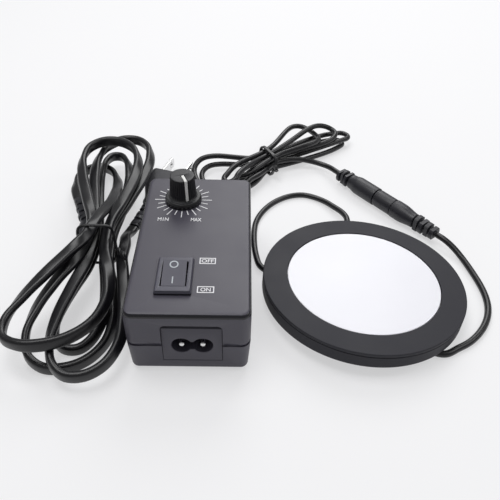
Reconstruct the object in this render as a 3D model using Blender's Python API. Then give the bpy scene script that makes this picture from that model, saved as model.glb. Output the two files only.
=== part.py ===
# Round LED light panel for a stereo microscope, with its dimmer power box and leads.
# Metres, +Z up. The origin lies on the table, midway between the outer edges of box and panel.

import math

import bpy
import bmesh
import numpy as np
from mathutils import Matrix, Vector

for old in list(bpy.data.objects):
    bpy.data.objects.remove(old, do_unlink=True)

# Fits that the whole object shares
CLEARANCE = 0.0003
OVERRUN = 0.001
ROUND_STEPS = 32
PIN_STEPS = 16

# Power box, outside
CASE_WIDTH = 0.0505
CASE_LENGTH = 0.0933
CASE_HEIGHT = 0.0344
CASE_CORNER = 0.004
TOP_EDGE = 0.0018
BOTTOM_EDGE = 0.002
SIDE_TAPER = 0.001
ROOF_THICKNESS = 0.0021
FLOOR_THICKNESS = 0.0021
PARTING_HEIGHT = 0.0163
PARTING_BEVEL_HEIGHT = 0.002
PARTING_BEVEL_DEPTH = 0.0004
RIM_THICKNESS = 0.0009
LIP_THICKNESS = 0.0009
LIP_HEIGHT = 0.0018
FOOT_HEIGHT = 0.0008
FOOT_RADIUS = 0.004
FOOT_INSET_X = 0.0095
FOOT_INSET_Y = 0.017

# Screws of the box and what they pass through
SCREW_INSET = 0.0066
SCREW_SHANK_RADIUS = 0.0013
SCREW_HEAD_RADIUS = 0.0023
SCREW_HEAD_HEIGHT = 0.0016
SCREW_GRIP = 0.009
BOSS_RADIUS = 0.0036
BOSS_HEIGHT = 0.0035
POST_RADIUS = 0.003

# Circuit board and what stands on it
BOARD_THICKNESS = 0.0016
TRANSFORMER_SIZE = (0.024, 0.020, 0.0165)
TRANSFORMER_CORE = 0.006
TRANSFORMER_PLACE_SHARES = (0.06, 0.01)
INPUT_CAPACITOR_RADIUS = 0.006
INPUT_CAPACITOR_HEIGHT = 0.014
INPUT_CAPACITOR_PLACE_SHARES = (0.24, -0.23)
OUTPUT_CAPACITOR_RADIUS = 0.004
OUTPUT_CAPACITOR_HEIGHT = 0.0115
OUTPUT_CAPACITOR_PLACE_SHARES = (0.22, 0.28)
CAN_EDGE = 0.0006
CHOKE_RADIUS = 0.005
CHOKE_CORE_RADIUS = 0.0032
CHOKE_HEIGHT = 0.0082
CHOKE_FLANGE = 0.0018
CHOKE_PLACE_SHARES = (-0.26, -0.2)
HEAT_SINK_LENGTH = 0.018
HEAT_SINK_HEIGHT = 0.0145
HEAT_SINK_THICKNESS = 0.0016
HEAT_SINK_FOOT = 0.005
HEAT_SINK_WALL_GAP = 0.0032
HEAT_SINK_PLACE_SHARE = 0.02
TRANSISTOR_SIZE = (0.0045, 0.010, 0.0095)

# Mains inlet
INLET_OFFSET_X = 0.0016
INLET_HEIGHT = 0.0160
INLET_PLATE_WIDTH = 0.0242
INLET_PLATE_TOP = 0.0283
INLET_PLATE_BOTTOM = 0.007
INLET_PLATE_CORNER = 0.002
INLET_RECESS = 0.0007
INLET_PLATE_THICKNESS = 0.0014
INLET_FLANGE_OVERLAP = 0.001
INLET_BODY_SIZE = (0.0205, 0.012)
INLET_DEPTH = 0.0122
INLET_BACK_WALL = 0.0016
SOCKET_LOBE_RADIUS = 0.0042
SOCKET_WAIST_HEIGHT = 0.0046
PIN_PITCH = 0.0086
PIN_RADIUS = 0.0012
PIN_TIP_DEPTH = 0.0003
PIN_TAIL = 0.0025

# Rocker switch
SWITCH_OFFSET_X = -0.0063
SWITCH_SETBACK = 0.02145
BEZEL_WIDTH = 0.015
BEZEL_LENGTH = 0.021
BEZEL_HEIGHT = 0.002
BEZEL_SLOPE = 0.0004
POCKET_WIDTH = 0.0105
POCKET_LENGTH = 0.0145
SWITCH_BODY_WIDTH = 0.0134
SWITCH_BODY_LENGTH = 0.0196
SWITCH_BODY_DEPTH = 0.0102
POCKET_DEPTH = 0.0066
ROCKER_HALF_ANGLE = math.radians(8)
ROCKER_CENTRE_HEIGHT = 0.0009
ROCKER_DEPTH = 0.004
PIVOT_BELOW_BEZEL = 0.0008
TRUNNION_RADIUS = 0.0009
TRUNNION_LENGTH = 0.0004
TERMINAL_SIZE = (0.0048, 0.0008, 0.0062)
TERMINAL_PLACE_SHARES = (0.17, 0.38)

# Dimmer control
KNOB_OFFSET_X = -0.007
KNOB_SETBACK = 0.01875
KNOB_HEIGHT = 0.0136
KNOB_LIFT = 0.0005
KNOB_TOP_RADIUS = 0.0057
KNOB_BASE_RADIUS = 0.0063
SKIRT_RADIUS = 0.0086
SKIRT_HEIGHT = 0.0024
FLUTE_COUNT = 18
FLUTE_DEPTH = 0.0002
POINTER_WIDTH = 0.0011
POINTER_DEPTH = 0.0008
POINTER_PROUD = 0.0001
POINTER_ANGLE = math.radians(-67)
CONTROL_RADIUS = 0.0083
CONTROL_THICKNESS = 0.007
BUSH_RADIUS = 0.004
BUSH_ABOVE_ROOF = 0.0023
NUT_RADIUS = 0.0056
NUT_THICKNESS = 0.0016
SHAFT_RADIUS = 0.003
SHAFT_FLAT = 0.0006

# Light panel, in its own frame, flat side down
PANEL_OFFSET_X = 0.0785
PANEL_OFFSET_Y = -0.00095
PANEL_RADIUS = 0.0475
PANEL_HEIGHT = 0.008
PANEL_RIM_WIDTH = 0.0114
PANEL_RIM_HEIGHT = 0.0016
PANEL_WALL = 0.0016
PANEL_FLOOR = 0.0014
PANEL_EDGE = 0.0005
PANEL_FOOT_EDGE = 0.001
PANEL_STEPS = 64
RIM_SKIRT_HEIGHT = 0.001
RIM_SKIRT_WIDTH = 0.001
DIFFUSER_LEDGE = 0.0034
DIFFUSER_THICKNESS = 0.0013
GUIDE_THICKNESS = 0.0024
GUIDE_OVERLAP = 0.0012
REFLECTOR_THICKNESS = 0.0003
LED_COUNT = 18
LED_HEIGHT = 0.0007
LED_BOARD_THICKNESS = 0.0004
PANEL_SCREW_COUNT = 3
PANEL_SCREW_INSET = 0.0048
PANEL_SCREW_RADIUS = 0.001
PANEL_SCREW_HEAD_RADIUS = 0.0018
PANEL_SCREW_HEAD = 0.001
PANEL_BOSS_RADIUS = 0.0026
PANEL_BOSS_HEIGHT = 0.0017
PANEL_POST_RADIUS = 0.0021
PANEL_POST_LENGTH = 0.0031
PANEL_LEAN_DIRECTION = math.radians(54.8)
PANEL_LEAD_OFFSET = 0.0135
PANEL_GROMMET_HEIGHT = 0.0038
PANEL_GROMMET_NECK = 0.0017
PANEL_GROMMET_FLANGE = 0.0005

# Leads, plugs and ties
LAMP_LEAD_DIAMETER = 0.0032
OUTPUT_LEAD_DIAMETER = 0.0032
MAINS_LEAD_DIAMETER = 0.0042
TABLE_GAP = 0.0001
TIE_WIRE = 0.0012
GROMMET_FLANGE_RADIUS = 0.0042
GROMMET_NECK_RADIUS = 0.003
GROMMET_TAIL = 0.012
PANEL_GROMMET_TAIL = 0.004
OUTPUT_GROMMET_OFFSET_X = 0.012
JOINT_AZIMUTH = math.radians(-51.6)
JOINT_HEIGHT = 0.0053
JOINT_PLACE = (0.0984, 0.0730)
SOCKET_LENGTH = 0.0295
SOCKET_RADIUS = 0.0052
PLUG_LENGTH = 0.042
PLUG_RADIUS = 0.0048
RIB_COUNT = 4
BARREL_RADIUS = 0.00275
BARREL_LENGTH = 0.0095
BARREL_WALL = 0.0006
MAINS_PLUG_PLACE = (-0.0358, 0.0420)
MAINS_PLUG_AZIMUTH = math.radians(72)
MAINS_PLUG_HEIGHT = 0.0055
MAINS_PLUG_LENGTH = 0.028
MAINS_PLUG_WIDTH = 0.024
MAINS_PLUG_THICKNESS = 0.0106
MAINS_RELIEF_LENGTH = 0.021
BLADE_SIZE = (0.017, 0.0015, 0.0064)
BLADE_PITCH = 0.0127
CONNECTOR_PLACE = (-0.0704, 0.0670)
CONNECTOR_AZIMUTH = math.radians(-66.6)
CONNECTOR_HEIGHT = 0.0043
CONNECTOR_WIDTH = 0.0152
CONNECTOR_THICKNESS = 0.0082
CONNECTOR_LENGTH = 0.021
CONNECTOR_RELIEF_LENGTH = 0.024

# Routes, measured from the middle of the box on the table
LAMP_ROUTE_START = ((0.0739, 0.0655, 0.0028), (0.0662, 0.0749, 0.0017), (0.0549, 0.0790, 0.0017),
                    (0.0430, 0.0742, 0.0017), (0.0341, 0.0645, 0.0017), (0.0289, 0.0526, 0.0017),
                    (0.0277, 0.0389, 0.0017), (0.0286, 0.0254, 0.0017), (0.0315, 0.0157, 0.0017))
LAMP_ROUTE_END = ((0.1076, -0.0380, 0.0017), (0.1176, -0.0335, 0.0017), (0.1258, -0.0282, 0.0017),
                  (0.1338, -0.0186, 0.0017), (0.1381, -0.0079, 0.0017), (0.1388, 0.0036, 0.0017),
                  (0.1368, 0.0171, 0.0019), (0.1335, 0.0285, 0.0028))
BOX_END_ROUTE = ((0.0134, 0.0676, 0.0144), (0.0170, 0.0724, 0.0098), (0.0226, 0.0790, 0.0056),
                 (0.0286, 0.0875, 0.0037), (0.0328, 0.0962, 0.0032))
SOCKET_END_ROUTE = ((0.0460, 0.1072, 0.0071), (0.0540, 0.1100, 0.0066), (0.0610, 0.1107, 0.0054),
                    (0.0680, 0.1095, 0.0042), (0.0740, 0.1062, 0.0040))
PLUG_END_ROUTE = ((-0.0384, 0.0323, 0.0074), (-0.0370, 0.0233, 0.0098))
CONNECTOR_END_ROUTE = ((-0.0500, 0.0174, 0.0261), (-0.0484, 0.0274, 0.0248), (-0.0468, 0.0434, 0.0196),
                       (-0.0480, 0.0614, 0.0132), (-0.0505, 0.0784, 0.0060), (-0.0535, 0.0914, 0.0030),
                       (-0.0590, 0.0998, 0.0025), (-0.0670, 0.1024, 0.0023), (-0.0740, 0.0974, 0.0023),
                       (-0.0765, 0.0874, 0.0028), (-0.0740, 0.0759, 0.0043))
MAINS_WAIST = (-0.0475, 0.0134)
MAINS_LOW_LEVEL = 0.0110
MAINS_LEVEL_GAP = 0.0007
MAINS_COLUMN_GAP = 0.0016
OUTPUT_WAIST = (0.0362, 0.1071)
OUTPUT_WAIST_AZIMUTH = math.radians(29)
OUTPUT_LOW_LEVEL = 0.0032
OUTPUT_LEVEL_GAP = 0.0007

# Half turns of the hanks in order, each from the waist to its tip and back: how far it reaches, its
# half width (positive where the first strand lies to the left of the way out), its lean to the left,
# the height of its tip, and how each strand climbs or falls on the way
OUTPUT_TURNS = (
    {"reach": 0.0605, "width": -0.0075, "width_power": 0.95, "lean": 0.0043, "lean_power": 0.65,
     "tip": 0.0019, "start_power": 1.5, "end_power": 1.6},
    {"reach": 0.042, "width": 0.0315, "width_power": 1.95, "lean": -0.0001, "lean_power": 1.5,
     "tip": 0.0019, "start_power": 2.0, "end_power": 0.65, "start_lift": 0.0022, "end_lift": -0.0004},
    {"reach": 0.065, "width": -0.009, "width_power": 1.55, "lean": 0.0039, "lean_power": 0.6,
     "tip": 0.0055, "start_power": 1.4, "end_power": 1.9, "start_lift": 0.0014, "end_lift": 0.0007},
    {"reach": 0.046, "width": 0.036, "width_power": 1.7, "lean": 0.0009, "lean_power": 1.0,
     "tip": 0.0042, "start_power": 2.3, "end_power": 0.7, "start_lift": 0.0035, "end_lift": 0.0008},
    {"reach": 0.0535, "width": -0.0162, "width_power": 2.0, "lean": 0.0049, "lean_power": 0.7,
     "tip": 0.011, "start_power": 1.4, "end_power": 0.5, "start_lift": -0.0004, "end_lift": 0.0043},
    {"reach": 0.0375, "width": -0.0074, "width_power": 1.65, "lean": -0.0177, "lean_power": 1.15,
     "tip": 0.0122, "start_power": 1.3, "end_power": 1.25, "start_lift": 0.0042, "end_lift": 0.0022},
    {"reach": 0.04, "width": 0.026, "width_power": 1.8, "lean": 0.0097, "lean_power": 1.05,
     "tip": 0.0108, "start_power": 1.25, "end_power": 0.65, "start_lift": 0.0017, "end_lift": 0.0036},
    {"reach": 0.0307, "width": 0.0038, "width_power": 0.85, "lean": -0.0139, "lean_power": 0.76,
     "tip": 0.0092, "start_power": 1.4, "end_power": 1.6, "start_lift": -0.0004, "end_lift": 0.0005},
)
MAINS_TURNS = (
    {"reach": 0.0695, "width": -0.0225, "lean": -0.0015, "tip": 0.0078, "start_power": 2.0,
     "end_power": 2.0, "start_lift": 0.001},
    {"reach": 0.096, "width": 0.0302, "lean": -0.001, "tip": 0.0185, "end_power": 0.6},
    {"reach": 0.052, "width": -0.0178, "lean": 0.0035, "tip": 0.0027, "start_power": 2.0,
     "end_power": 1.2, "width_power": 1.2},
    {"reach": 0.095, "width": 0.0151, "lean": 0.008, "tip": 0.0075, "start_power": 2.0},
    {"reach": 0.062, "width": -0.0313, "lean": 0.0088, "tip": 0.0027, "start_power": 0.8,
     "end_power": 1.6, "width_power": 1.15},
    {"reach": 0.084, "width": 0.0313, "lean": 0.007, "tip": 0.0245},
    {"reach": 0.060, "width": -0.0371, "lean": 0.0165, "tip": 0.0155, "start_power": 1.3,
     "end_power": 2.0, "end_lift": -0.004, "width_power": 1.25},
)

# Where the box and the panel stand, from the box that holds them both
PANEL_WINDOW_RADIUS = PANEL_RADIUS - PANEL_RIM_WIDTH
PANEL_SCREW_RING = PANEL_RADIUS - PANEL_SCREW_INSET
REACH_NEAR = min(-CASE_LENGTH / 2, PANEL_OFFSET_Y - PANEL_RADIUS)
REACH_FAR = max(CASE_LENGTH / 2, PANEL_OFFSET_Y + PANEL_RADIUS)
CASE_X = -(PANEL_OFFSET_X + PANEL_RADIUS - CASE_WIDTH / 2) / 2
CASE_Y = -(REACH_NEAR + REACH_FAR) / 2
CASE_WALL = RIM_THICKNESS + CLEARANCE + LIP_THICKNESS
CASE_FRONT = CASE_Y - CASE_LENGTH / 2
CASE_BACK = CASE_Y + CASE_LENGTH / 2
BEZEL_TOP = CASE_HEIGHT + BEZEL_HEIGHT
BOARD_TOP = FOOT_HEIGHT + FLOOR_THICKNESS + BOSS_HEIGHT + CLEARANCE + BOARD_THICKNESS
STAND_ON_BOARD = BOARD_TOP + CLEARANCE


# Finishes
def finish(name, colour, roughness, metallic=0.0):
    material = bpy.data.materials.new(name)
    material.use_nodes = True
    shader = material.node_tree.nodes["Principled BSDF"]
    shader.inputs["Base Color"].default_value = (*colour, 1.0)
    shader.inputs["Roughness"].default_value = roughness
    shader.inputs["Metallic"].default_value = metallic
    return material


CASE_PLASTIC = finish("case plastic", (0.055, 0.055, 0.060), 0.42)
DARK_PLASTIC = finish("dark plastic", (0.020, 0.020, 0.022), 0.35)
KNOB_PLASTIC = finish("knob plastic", (0.030, 0.030, 0.032), 0.40)
PANEL_PAINT = finish("panel paint", (0.050, 0.050, 0.055), 0.45)
WHITE_PLASTIC = finish("white plastic", (0.850, 0.850, 0.850), 0.50)
DIFFUSER_WHITE = finish("diffuser acrylic", (0.900, 0.900, 0.950), 0.35)
CLEAR_ACRYLIC = finish("clear acrylic", (0.800, 0.850, 0.850), 0.05)
BLACK_RUBBER = finish("black rubber", (0.015, 0.015, 0.016), 0.55)
CORD_JACKET = finish("cord jacket", (0.018, 0.018, 0.020), 0.38)
TIE_COATING = finish("tie coating", (0.010, 0.010, 0.010), 0.45)
NICKEL = finish("nickel plate", (0.700, 0.690, 0.660), 0.25, 1.0)
STEEL = finish("zinc plated steel", (0.550, 0.560, 0.580), 0.35, 1.0)
ALUMINIUM = finish("aluminium", (0.700, 0.710, 0.720), 0.40, 1.0)
BOARD_LAMINATE = finish("board laminate", (0.060, 0.200, 0.080), 0.50)
FERRITE = finish("ferrite", (0.050, 0.048, 0.046), 0.60)
TAPE_YELLOW = finish("winding tape", (0.700, 0.500, 0.060), 0.45)
CAN_SLEEVE = finish("capacitor sleeve", (0.020, 0.030, 0.060), 0.35)


# Objects and their places
def place(obj, location=(0, 0, 0), rotation=(0, 0, 0), parent=None):
    obj.location = location
    obj.rotation_euler = rotation
    obj.parent = parent
    return obj


def empty(name, location, rotation=(0, 0, 0), parent=None):
    holder = bpy.data.objects.new(name, None)
    bpy.context.collection.objects.link(holder)
    return place(holder, location, rotation, parent)


def mesh_object(name, mesh_builder, material, smooth_angle=math.radians(35)):
    bmesh.ops.recalc_face_normals(mesh_builder, faces=mesh_builder.faces)
    mesh = bpy.data.meshes.new(name)
    mesh_builder.to_mesh(mesh)
    mesh_builder.free()
    mesh.shade_smooth()
    mesh.set_sharp_from_angle(angle=smooth_angle)
    mesh.materials.append(material)
    obj = bpy.data.objects.new(name, mesh)
    bpy.context.collection.objects.link(obj)
    return obj


def skin(name, rings, material, joined=False):
    # Quads between rings of as many points each; the ends are capped unless the rings close up
    builder = bmesh.new()
    loops = [[builder.verts.new(point) for point in ring] for ring in rings]
    pairs = list(zip(loops, loops[1:]))
    if joined:
        pairs.append((loops[-1], loops[0]))
    for lower, upper in pairs:
        for index in range(len(lower)):
            following = (index + 1) % len(lower)
            builder.faces.new((lower[index], lower[following], upper[following], upper[index]))
    if not joined:
        builder.faces.new(list(reversed(loops[0])))
        builder.faces.new(loops[-1])
    return mesh_object(name, builder, material)


def turned(name, profile, material, steps=ROUND_STEPS, joined=False):
    # A profile of (radius, height) points turned about Z
    rings = []
    for radius, height in profile:
        angles = [2 * math.pi * step / steps for step in range(steps)]
        rings.append([(radius * math.cos(a), radius * math.sin(a), height) for a in angles])
    return skin(name, rings, material, joined)


def prism(name, outline, bottom, top, material):
    rings = [[(x, y, height) for x, y in outline] for height in (bottom, top)]
    return skin(name, rings, material)


def block(name, size, low_centre, material):
    # A box of a given size, standing on the point below its middle
    half_x = size[0] / 2
    half_y = size[1] / 2
    x, y, z = low_centre
    corners = [(x - half_x, y - half_y), (x + half_x, y - half_y)]
    corners += [(x + half_x, y + half_y), (x - half_x, y + half_y)]
    return prism(name, corners, z, z + size[2], material)


def rod(name, radius, bottom, top, centre, material, steps=PIN_STEPS):
    obj = turned(name, [(radius, bottom), (radius, top)], material, steps)
    return place(obj, (centre[0], centre[1], 0))


def rounded_ring(half_x, half_y, radius, steps):
    # Anticlockwise outline of a rectangle with round corners
    points = []
    corners = ((1, 1, 0), (-1, 1, 1), (-1, -1, 2), (1, -1, 3))
    for sign_x, sign_y, quarter in corners:
        for step in range(steps + 1):
            angle = math.pi / 2 * (quarter + step / steps)
            x = sign_x * (half_x - radius) + radius * math.cos(angle)
            y = sign_y * (half_y - radius) + radius * math.sin(angle)
            points.append((x, y))
    return points


def apply_boolean(obj, tool, operation):
    modifier = obj.modifiers.new(tool.name, 'BOOLEAN')
    modifier.operation = operation
    modifier.object = tool
    modifier.solver = 'EXACT'
    tool.hide_render = True
    tool.display_type = 'WIRE'


def cut(obj, *tools):
    for tool in tools:
        apply_boolean(obj, tool, 'DIFFERENCE')


def add(obj, *tools):
    for tool in tools:
        apply_boolean(obj, tool, 'UNION')


# Shells of the power box
def case_ring(inset, height, steps=4):
    radius = max(CASE_CORNER - inset, CASE_CORNER / 4)
    ring = rounded_ring(CASE_WIDTH / 2 - inset, CASE_LENGTH / 2 - inset, radius, steps)
    return [(CASE_X + x, CASE_Y + y, height) for x, y in ring]


def taper_at(height):
    share = (PARTING_HEIGHT - height) / (PARTING_HEIGHT - FOOT_HEIGHT)
    return SIDE_TAPER * share


def case_screw_places():
    for sign_x in (-1, 1):
        for sign_y in (-1, 1):
            x = CASE_X + sign_x * (CASE_WIDTH / 2 - SCREW_INSET)
            y = CASE_Y + sign_y * (CASE_LENGTH / 2 - SCREW_INSET)
            yield x, y


def inlet_outline(growth):
    # The inlet plate seen from the front, round only at its top corners, in X and Z
    centre = CASE_X + INLET_OFFSET_X
    half = INLET_PLATE_WIDTH / 2 + growth
    top = INLET_PLATE_TOP + growth
    bottom = INLET_PLATE_BOTTOM - growth
    radius = INLET_PLATE_CORNER + growth
    points = [(centre - half, bottom), (centre + half, bottom)]
    for side, start in ((1, 0), (-1, math.pi / 2)):
        for step in range(5):
            angle = start + math.pi / 2 * step / 4
            x = centre + side * (half - radius) + radius * math.cos(angle)
            points.append((x, top - radius + radius * math.sin(angle)))
    return points


def front_prism(name, outline, front, back, material):
    # An outline in X and Z, drawn from front to back along Y
    rings = [[(x, y, z) for x, z in outline] for y in (front, back)]
    return skin(name, rings, material)


def grommet_hole(name, radius, overrun):
    # Across the back wall, for the strain relief of the output lead
    angles = [2 * math.pi * step / PIN_STEPS for step in range(PIN_STEPS)]
    centre_x = CASE_X + OUTPUT_GROMMET_OFFSET_X
    outline = [(centre_x + radius * math.cos(a), PARTING_HEIGHT + radius * math.sin(a)) for a in angles]
    front = CASE_BACK - CASE_WALL - SIDE_TAPER - overrun
    return front_prism(name, outline, front, CASE_BACK + overrun, BLACK_RUBBER)


def make_bottom_shell():
    inner_floor = FOOT_HEIGHT + FLOOR_THICKNESS
    rings = []
    for step in range(4):
        angle = math.pi / 2 * step / 3
        height = FOOT_HEIGHT + BOTTOM_EDGE * (1 - math.cos(angle))
        inset = taper_at(height) + BOTTOM_EDGE * (1 - math.sin(angle))
        rings.append(case_ring(inset, height))
    lip_inset = RIM_THICKNESS + CLEARANCE
    rings.append(case_ring(0, PARTING_HEIGHT))
    rings.append(case_ring(lip_inset, PARTING_HEIGHT))
    rings.append(case_ring(lip_inset, PARTING_HEIGHT + LIP_HEIGHT))
    rings.append(case_ring(CASE_WALL, PARTING_HEIGHT + LIP_HEIGHT))
    rings.append(case_ring(CASE_WALL + taper_at(PARTING_HEIGHT), PARTING_HEIGHT))
    rings.append(case_ring(CASE_WALL + taper_at(inner_floor), inner_floor))
    shell = skin("bottom_shell", rings, CASE_PLASTIC)
    well_top = inner_floor + BOSS_HEIGHT - SCREW_HEAD_HEIGHT
    for index, centre in enumerate(case_screw_places()):
        boss = rod(f"boss_{index}", BOSS_RADIUS, inner_floor - OVERRUN, inner_floor + BOSS_HEIGHT,
                   centre, CASE_PLASTIC)
        add(shell, boss)
        well = rod(f"well_{index}", SCREW_HEAD_RADIUS + CLEARANCE, -OVERRUN, well_top,
                   centre, CASE_PLASTIC)
        hole = rod(f"shell_hole_{index}", SCREW_SHANK_RADIUS + CLEARANCE, -OVERRUN,
                   inner_floor + BOSS_HEIGHT + OVERRUN, centre, CASE_PLASTIC)
        cut(shell, well, hole)
    return shell


def make_top_cover():
    inner_roof = CASE_HEIGHT - ROOF_THICKNESS
    rim = PARTING_HEIGHT + CLEARANCE
    step_height = PARTING_HEIGHT + LIP_HEIGHT + CLEARANCE
    rings = [case_ring(CASE_WALL, inner_roof), case_ring(CASE_WALL, step_height)]
    rings.append(case_ring(RIM_THICKNESS, step_height))
    rings.append(case_ring(RIM_THICKNESS, rim))
    rings.append(case_ring(PARTING_BEVEL_DEPTH, rim))
    rings.append(case_ring(0, rim + PARTING_BEVEL_HEIGHT))
    for step in range(4):
        angle = math.pi / 2 * step / 3
        height = CASE_HEIGHT - TOP_EDGE * (1 - math.sin(angle))
        rings.append(case_ring(TOP_EDGE * (1 - math.cos(angle)), height))
    cover = skin("top_cover", rings, CASE_PLASTIC)
    post_bottom = BOARD_TOP + CLEARANCE
    for index, centre in enumerate(case_screw_places()):
        post = rod(f"post_{index}", POST_RADIUS, post_bottom, inner_roof + OVERRUN,
                   centre, CASE_PLASTIC)
        add(cover, post)
        screw_end = post_bottom + SCREW_GRIP + CLEARANCE
        pilot = rod(f"pilot_{index}", SCREW_SHANK_RADIUS + CLEARANCE, post_bottom - OVERRUN,
                    screw_end, centre, CASE_PLASTIC)
        cut(cover, pilot)
    switch_size = (SWITCH_BODY_WIDTH + 2 * CLEARANCE, SWITCH_BODY_LENGTH + 2 * CLEARANCE,
                   ROOF_THICKNESS + 2 * OVERRUN)
    switch_hole = block("switch_hole", switch_size, (*switch_centre(), inner_roof - OVERRUN), CASE_PLASTIC)
    bush_hole = rod("bush_hole", BUSH_RADIUS + CLEARANCE, inner_roof - OVERRUN, CASE_HEIGHT + OVERRUN,
                    knob_centre(), CASE_PLASTIC, ROUND_STEPS)
    cut(cover, switch_hole, bush_hole)
    return cover


def switch_centre():
    return CASE_X + SWITCH_OFFSET_X, CASE_FRONT + SWITCH_SETBACK


def knob_centre():
    return CASE_X + KNOB_OFFSET_X, CASE_BACK - KNOB_SETBACK


def make_case():
    bottom_shell = make_bottom_shell()
    top_cover = make_top_cover()
    inside = CASE_FRONT + CASE_WALL + SIDE_TAPER + OVERRUN
    notch = front_prism("inlet_notch", inlet_outline(CLEARANCE), CASE_FRONT - OVERRUN, inside, CASE_PLASTIC)
    back_hole = grommet_hole("grommet_hole", GROMMET_NECK_RADIUS + CLEARANCE, OVERRUN)
    for shell in (bottom_shell, top_cover):
        cut(shell, notch, back_hole)
    head_bottom = FOOT_HEIGHT + FLOOR_THICKNESS + BOSS_HEIGHT - SCREW_HEAD_HEIGHT - CLEARANCE
    for index, centre in enumerate(case_screw_places()):
        shank_top = BOARD_TOP + CLEARANCE + SCREW_GRIP
        profile = [(SCREW_HEAD_RADIUS, head_bottom - SCREW_HEAD_HEIGHT), (SCREW_HEAD_RADIUS, head_bottom)]
        profile += [(SCREW_SHANK_RADIUS, head_bottom), (SCREW_SHANK_RADIUS, shank_top)]
        place(turned(f"case_screw_{index + 1}", profile, STEEL, PIN_STEPS), (*centre, 0))
    index = 0
    for sign_x in (-1, 1):
        for sign_y in (-1, 1):
            index += 1
            x = CASE_X + sign_x * (CASE_WIDTH / 2 - FOOT_INSET_X)
            y = CASE_Y + sign_y * (CASE_LENGTH / 2 - FOOT_INSET_Y)
            rod(f"foot_{index}", FOOT_RADIUS, 0, FOOT_HEIGHT - CLEARANCE, (x, y), BLACK_RUBBER,
                ROUND_STEPS)


# Circuit board and its parts
def case_place(shares):
    return CASE_X + shares[0] * CASE_WIDTH, CASE_Y + shares[1] * CASE_LENGTH


def make_electronics():
    half_x = CASE_WIDTH / 2 - CASE_WALL - SIDE_TAPER - CLEARANCE
    half_y = CASE_LENGTH / 2 - CASE_WALL - SIDE_TAPER - CLEARANCE - INLET_PLATE_THICKNESS
    outline = rounded_ring(half_x, half_y, CASE_CORNER / 4, 3)
    board_points = [(CASE_X + x, CASE_Y + y) for x, y in outline]
    board = prism("circuit_board", board_points, BOARD_TOP - BOARD_THICKNESS, BOARD_TOP, BOARD_LAMINATE)
    for index, centre in enumerate(case_screw_places()):
        hole = rod(f"board_hole_{index}", SCREW_SHANK_RADIUS + CLEARANCE, 0, BOARD_TOP + OVERRUN,
                   centre, BOARD_LAMINATE)
        cut(board, hole)

    width, length, height = TRANSFORMER_SIZE
    centre = case_place(TRANSFORMER_PLACE_SHARES)
    core_size = (width, length - 2 * TRANSFORMER_CORE, height)
    transformer = block("transformer", core_size, (*centre, STAND_ON_BOARD), FERRITE)
    winding_size = (width - 2 * TRANSFORMER_CORE, length, height - 2 * TRANSFORMER_CORE / 3)
    winding = block("transformer_winding", winding_size,
                    (*centre, STAND_ON_BOARD + TRANSFORMER_CORE / 3), TAPE_YELLOW)
    add(transformer, winding)

    make_can("input_capacitor", INPUT_CAPACITOR_RADIUS, INPUT_CAPACITOR_HEIGHT,
             case_place(INPUT_CAPACITOR_PLACE_SHARES))
    make_can("output_capacitor", OUTPUT_CAPACITOR_RADIUS, OUTPUT_CAPACITOR_HEIGHT,
             case_place(OUTPUT_CAPACITOR_PLACE_SHARES))

    base = STAND_ON_BOARD
    profile = [(CHOKE_RADIUS, base), (CHOKE_RADIUS, base + CHOKE_FLANGE)]
    profile += [(CHOKE_CORE_RADIUS, base + CHOKE_FLANGE)]
    profile += [(CHOKE_CORE_RADIUS, base + CHOKE_HEIGHT - CHOKE_FLANGE)]
    profile += [(CHOKE_RADIUS, base + CHOKE_HEIGHT - CHOKE_FLANGE), (CHOKE_RADIUS, base + CHOKE_HEIGHT)]
    choke = turned("input_choke", profile, FERRITE, PIN_STEPS)
    place(choke, (*case_place(CHOKE_PLACE_SHARES), 0))

    x = CASE_X - half_x + HEAT_SINK_WALL_GAP
    y = CASE_Y + HEAT_SINK_PLACE_SHARE * CASE_LENGTH
    outline = [(x, base), (x + HEAT_SINK_FOOT, base), (x + HEAT_SINK_FOOT, base + HEAT_SINK_THICKNESS)]
    outline += [(x + HEAT_SINK_THICKNESS, base + HEAT_SINK_THICKNESS)]
    outline += [(x + HEAT_SINK_THICKNESS, base + HEAT_SINK_HEIGHT), (x, base + HEAT_SINK_HEIGHT)]
    front_prism("heat_sink", outline, y - HEAT_SINK_LENGTH / 2, y + HEAT_SINK_LENGTH / 2, ALUMINIUM)
    transistor_x = x + HEAT_SINK_THICKNESS + CLEARANCE + TRANSISTOR_SIZE[0] / 2
    low = base + HEAT_SINK_THICKNESS + CLEARANCE
    block("power_transistor", TRANSISTOR_SIZE, (transistor_x, y, low), DARK_PLASTIC)


def make_can(name, radius, height, centre):
    base = STAND_ON_BOARD
    profile = [(radius, base), (radius, base + height - CAN_EDGE), (radius - CAN_EDGE, base + height)]
    can = turned(name, profile, CAN_SLEEVE, PIN_STEPS)
    place(can, (*centre, 0))


# Mains inlet: a face plate held in the front wall, a socket body behind it and two round pins
def socket_outline():
    centre = CASE_X + INLET_OFFSET_X
    bite = math.asin(SOCKET_WAIST_HEIGHT / 2 / SOCKET_LOBE_RADIUS)
    points = []
    for side in (1, -1):
        start = -math.pi + bite if side == 1 else bite
        sweep = 2 * (math.pi - bite)
        for step in range(11):
            angle = start + sweep * step / 10
            x = centre + side * PIN_PITCH / 2 + SOCKET_LOBE_RADIUS * math.cos(angle)
            points.append((x, INLET_HEIGHT + SOCKET_LOBE_RADIUS * math.sin(angle)))
    return points


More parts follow.
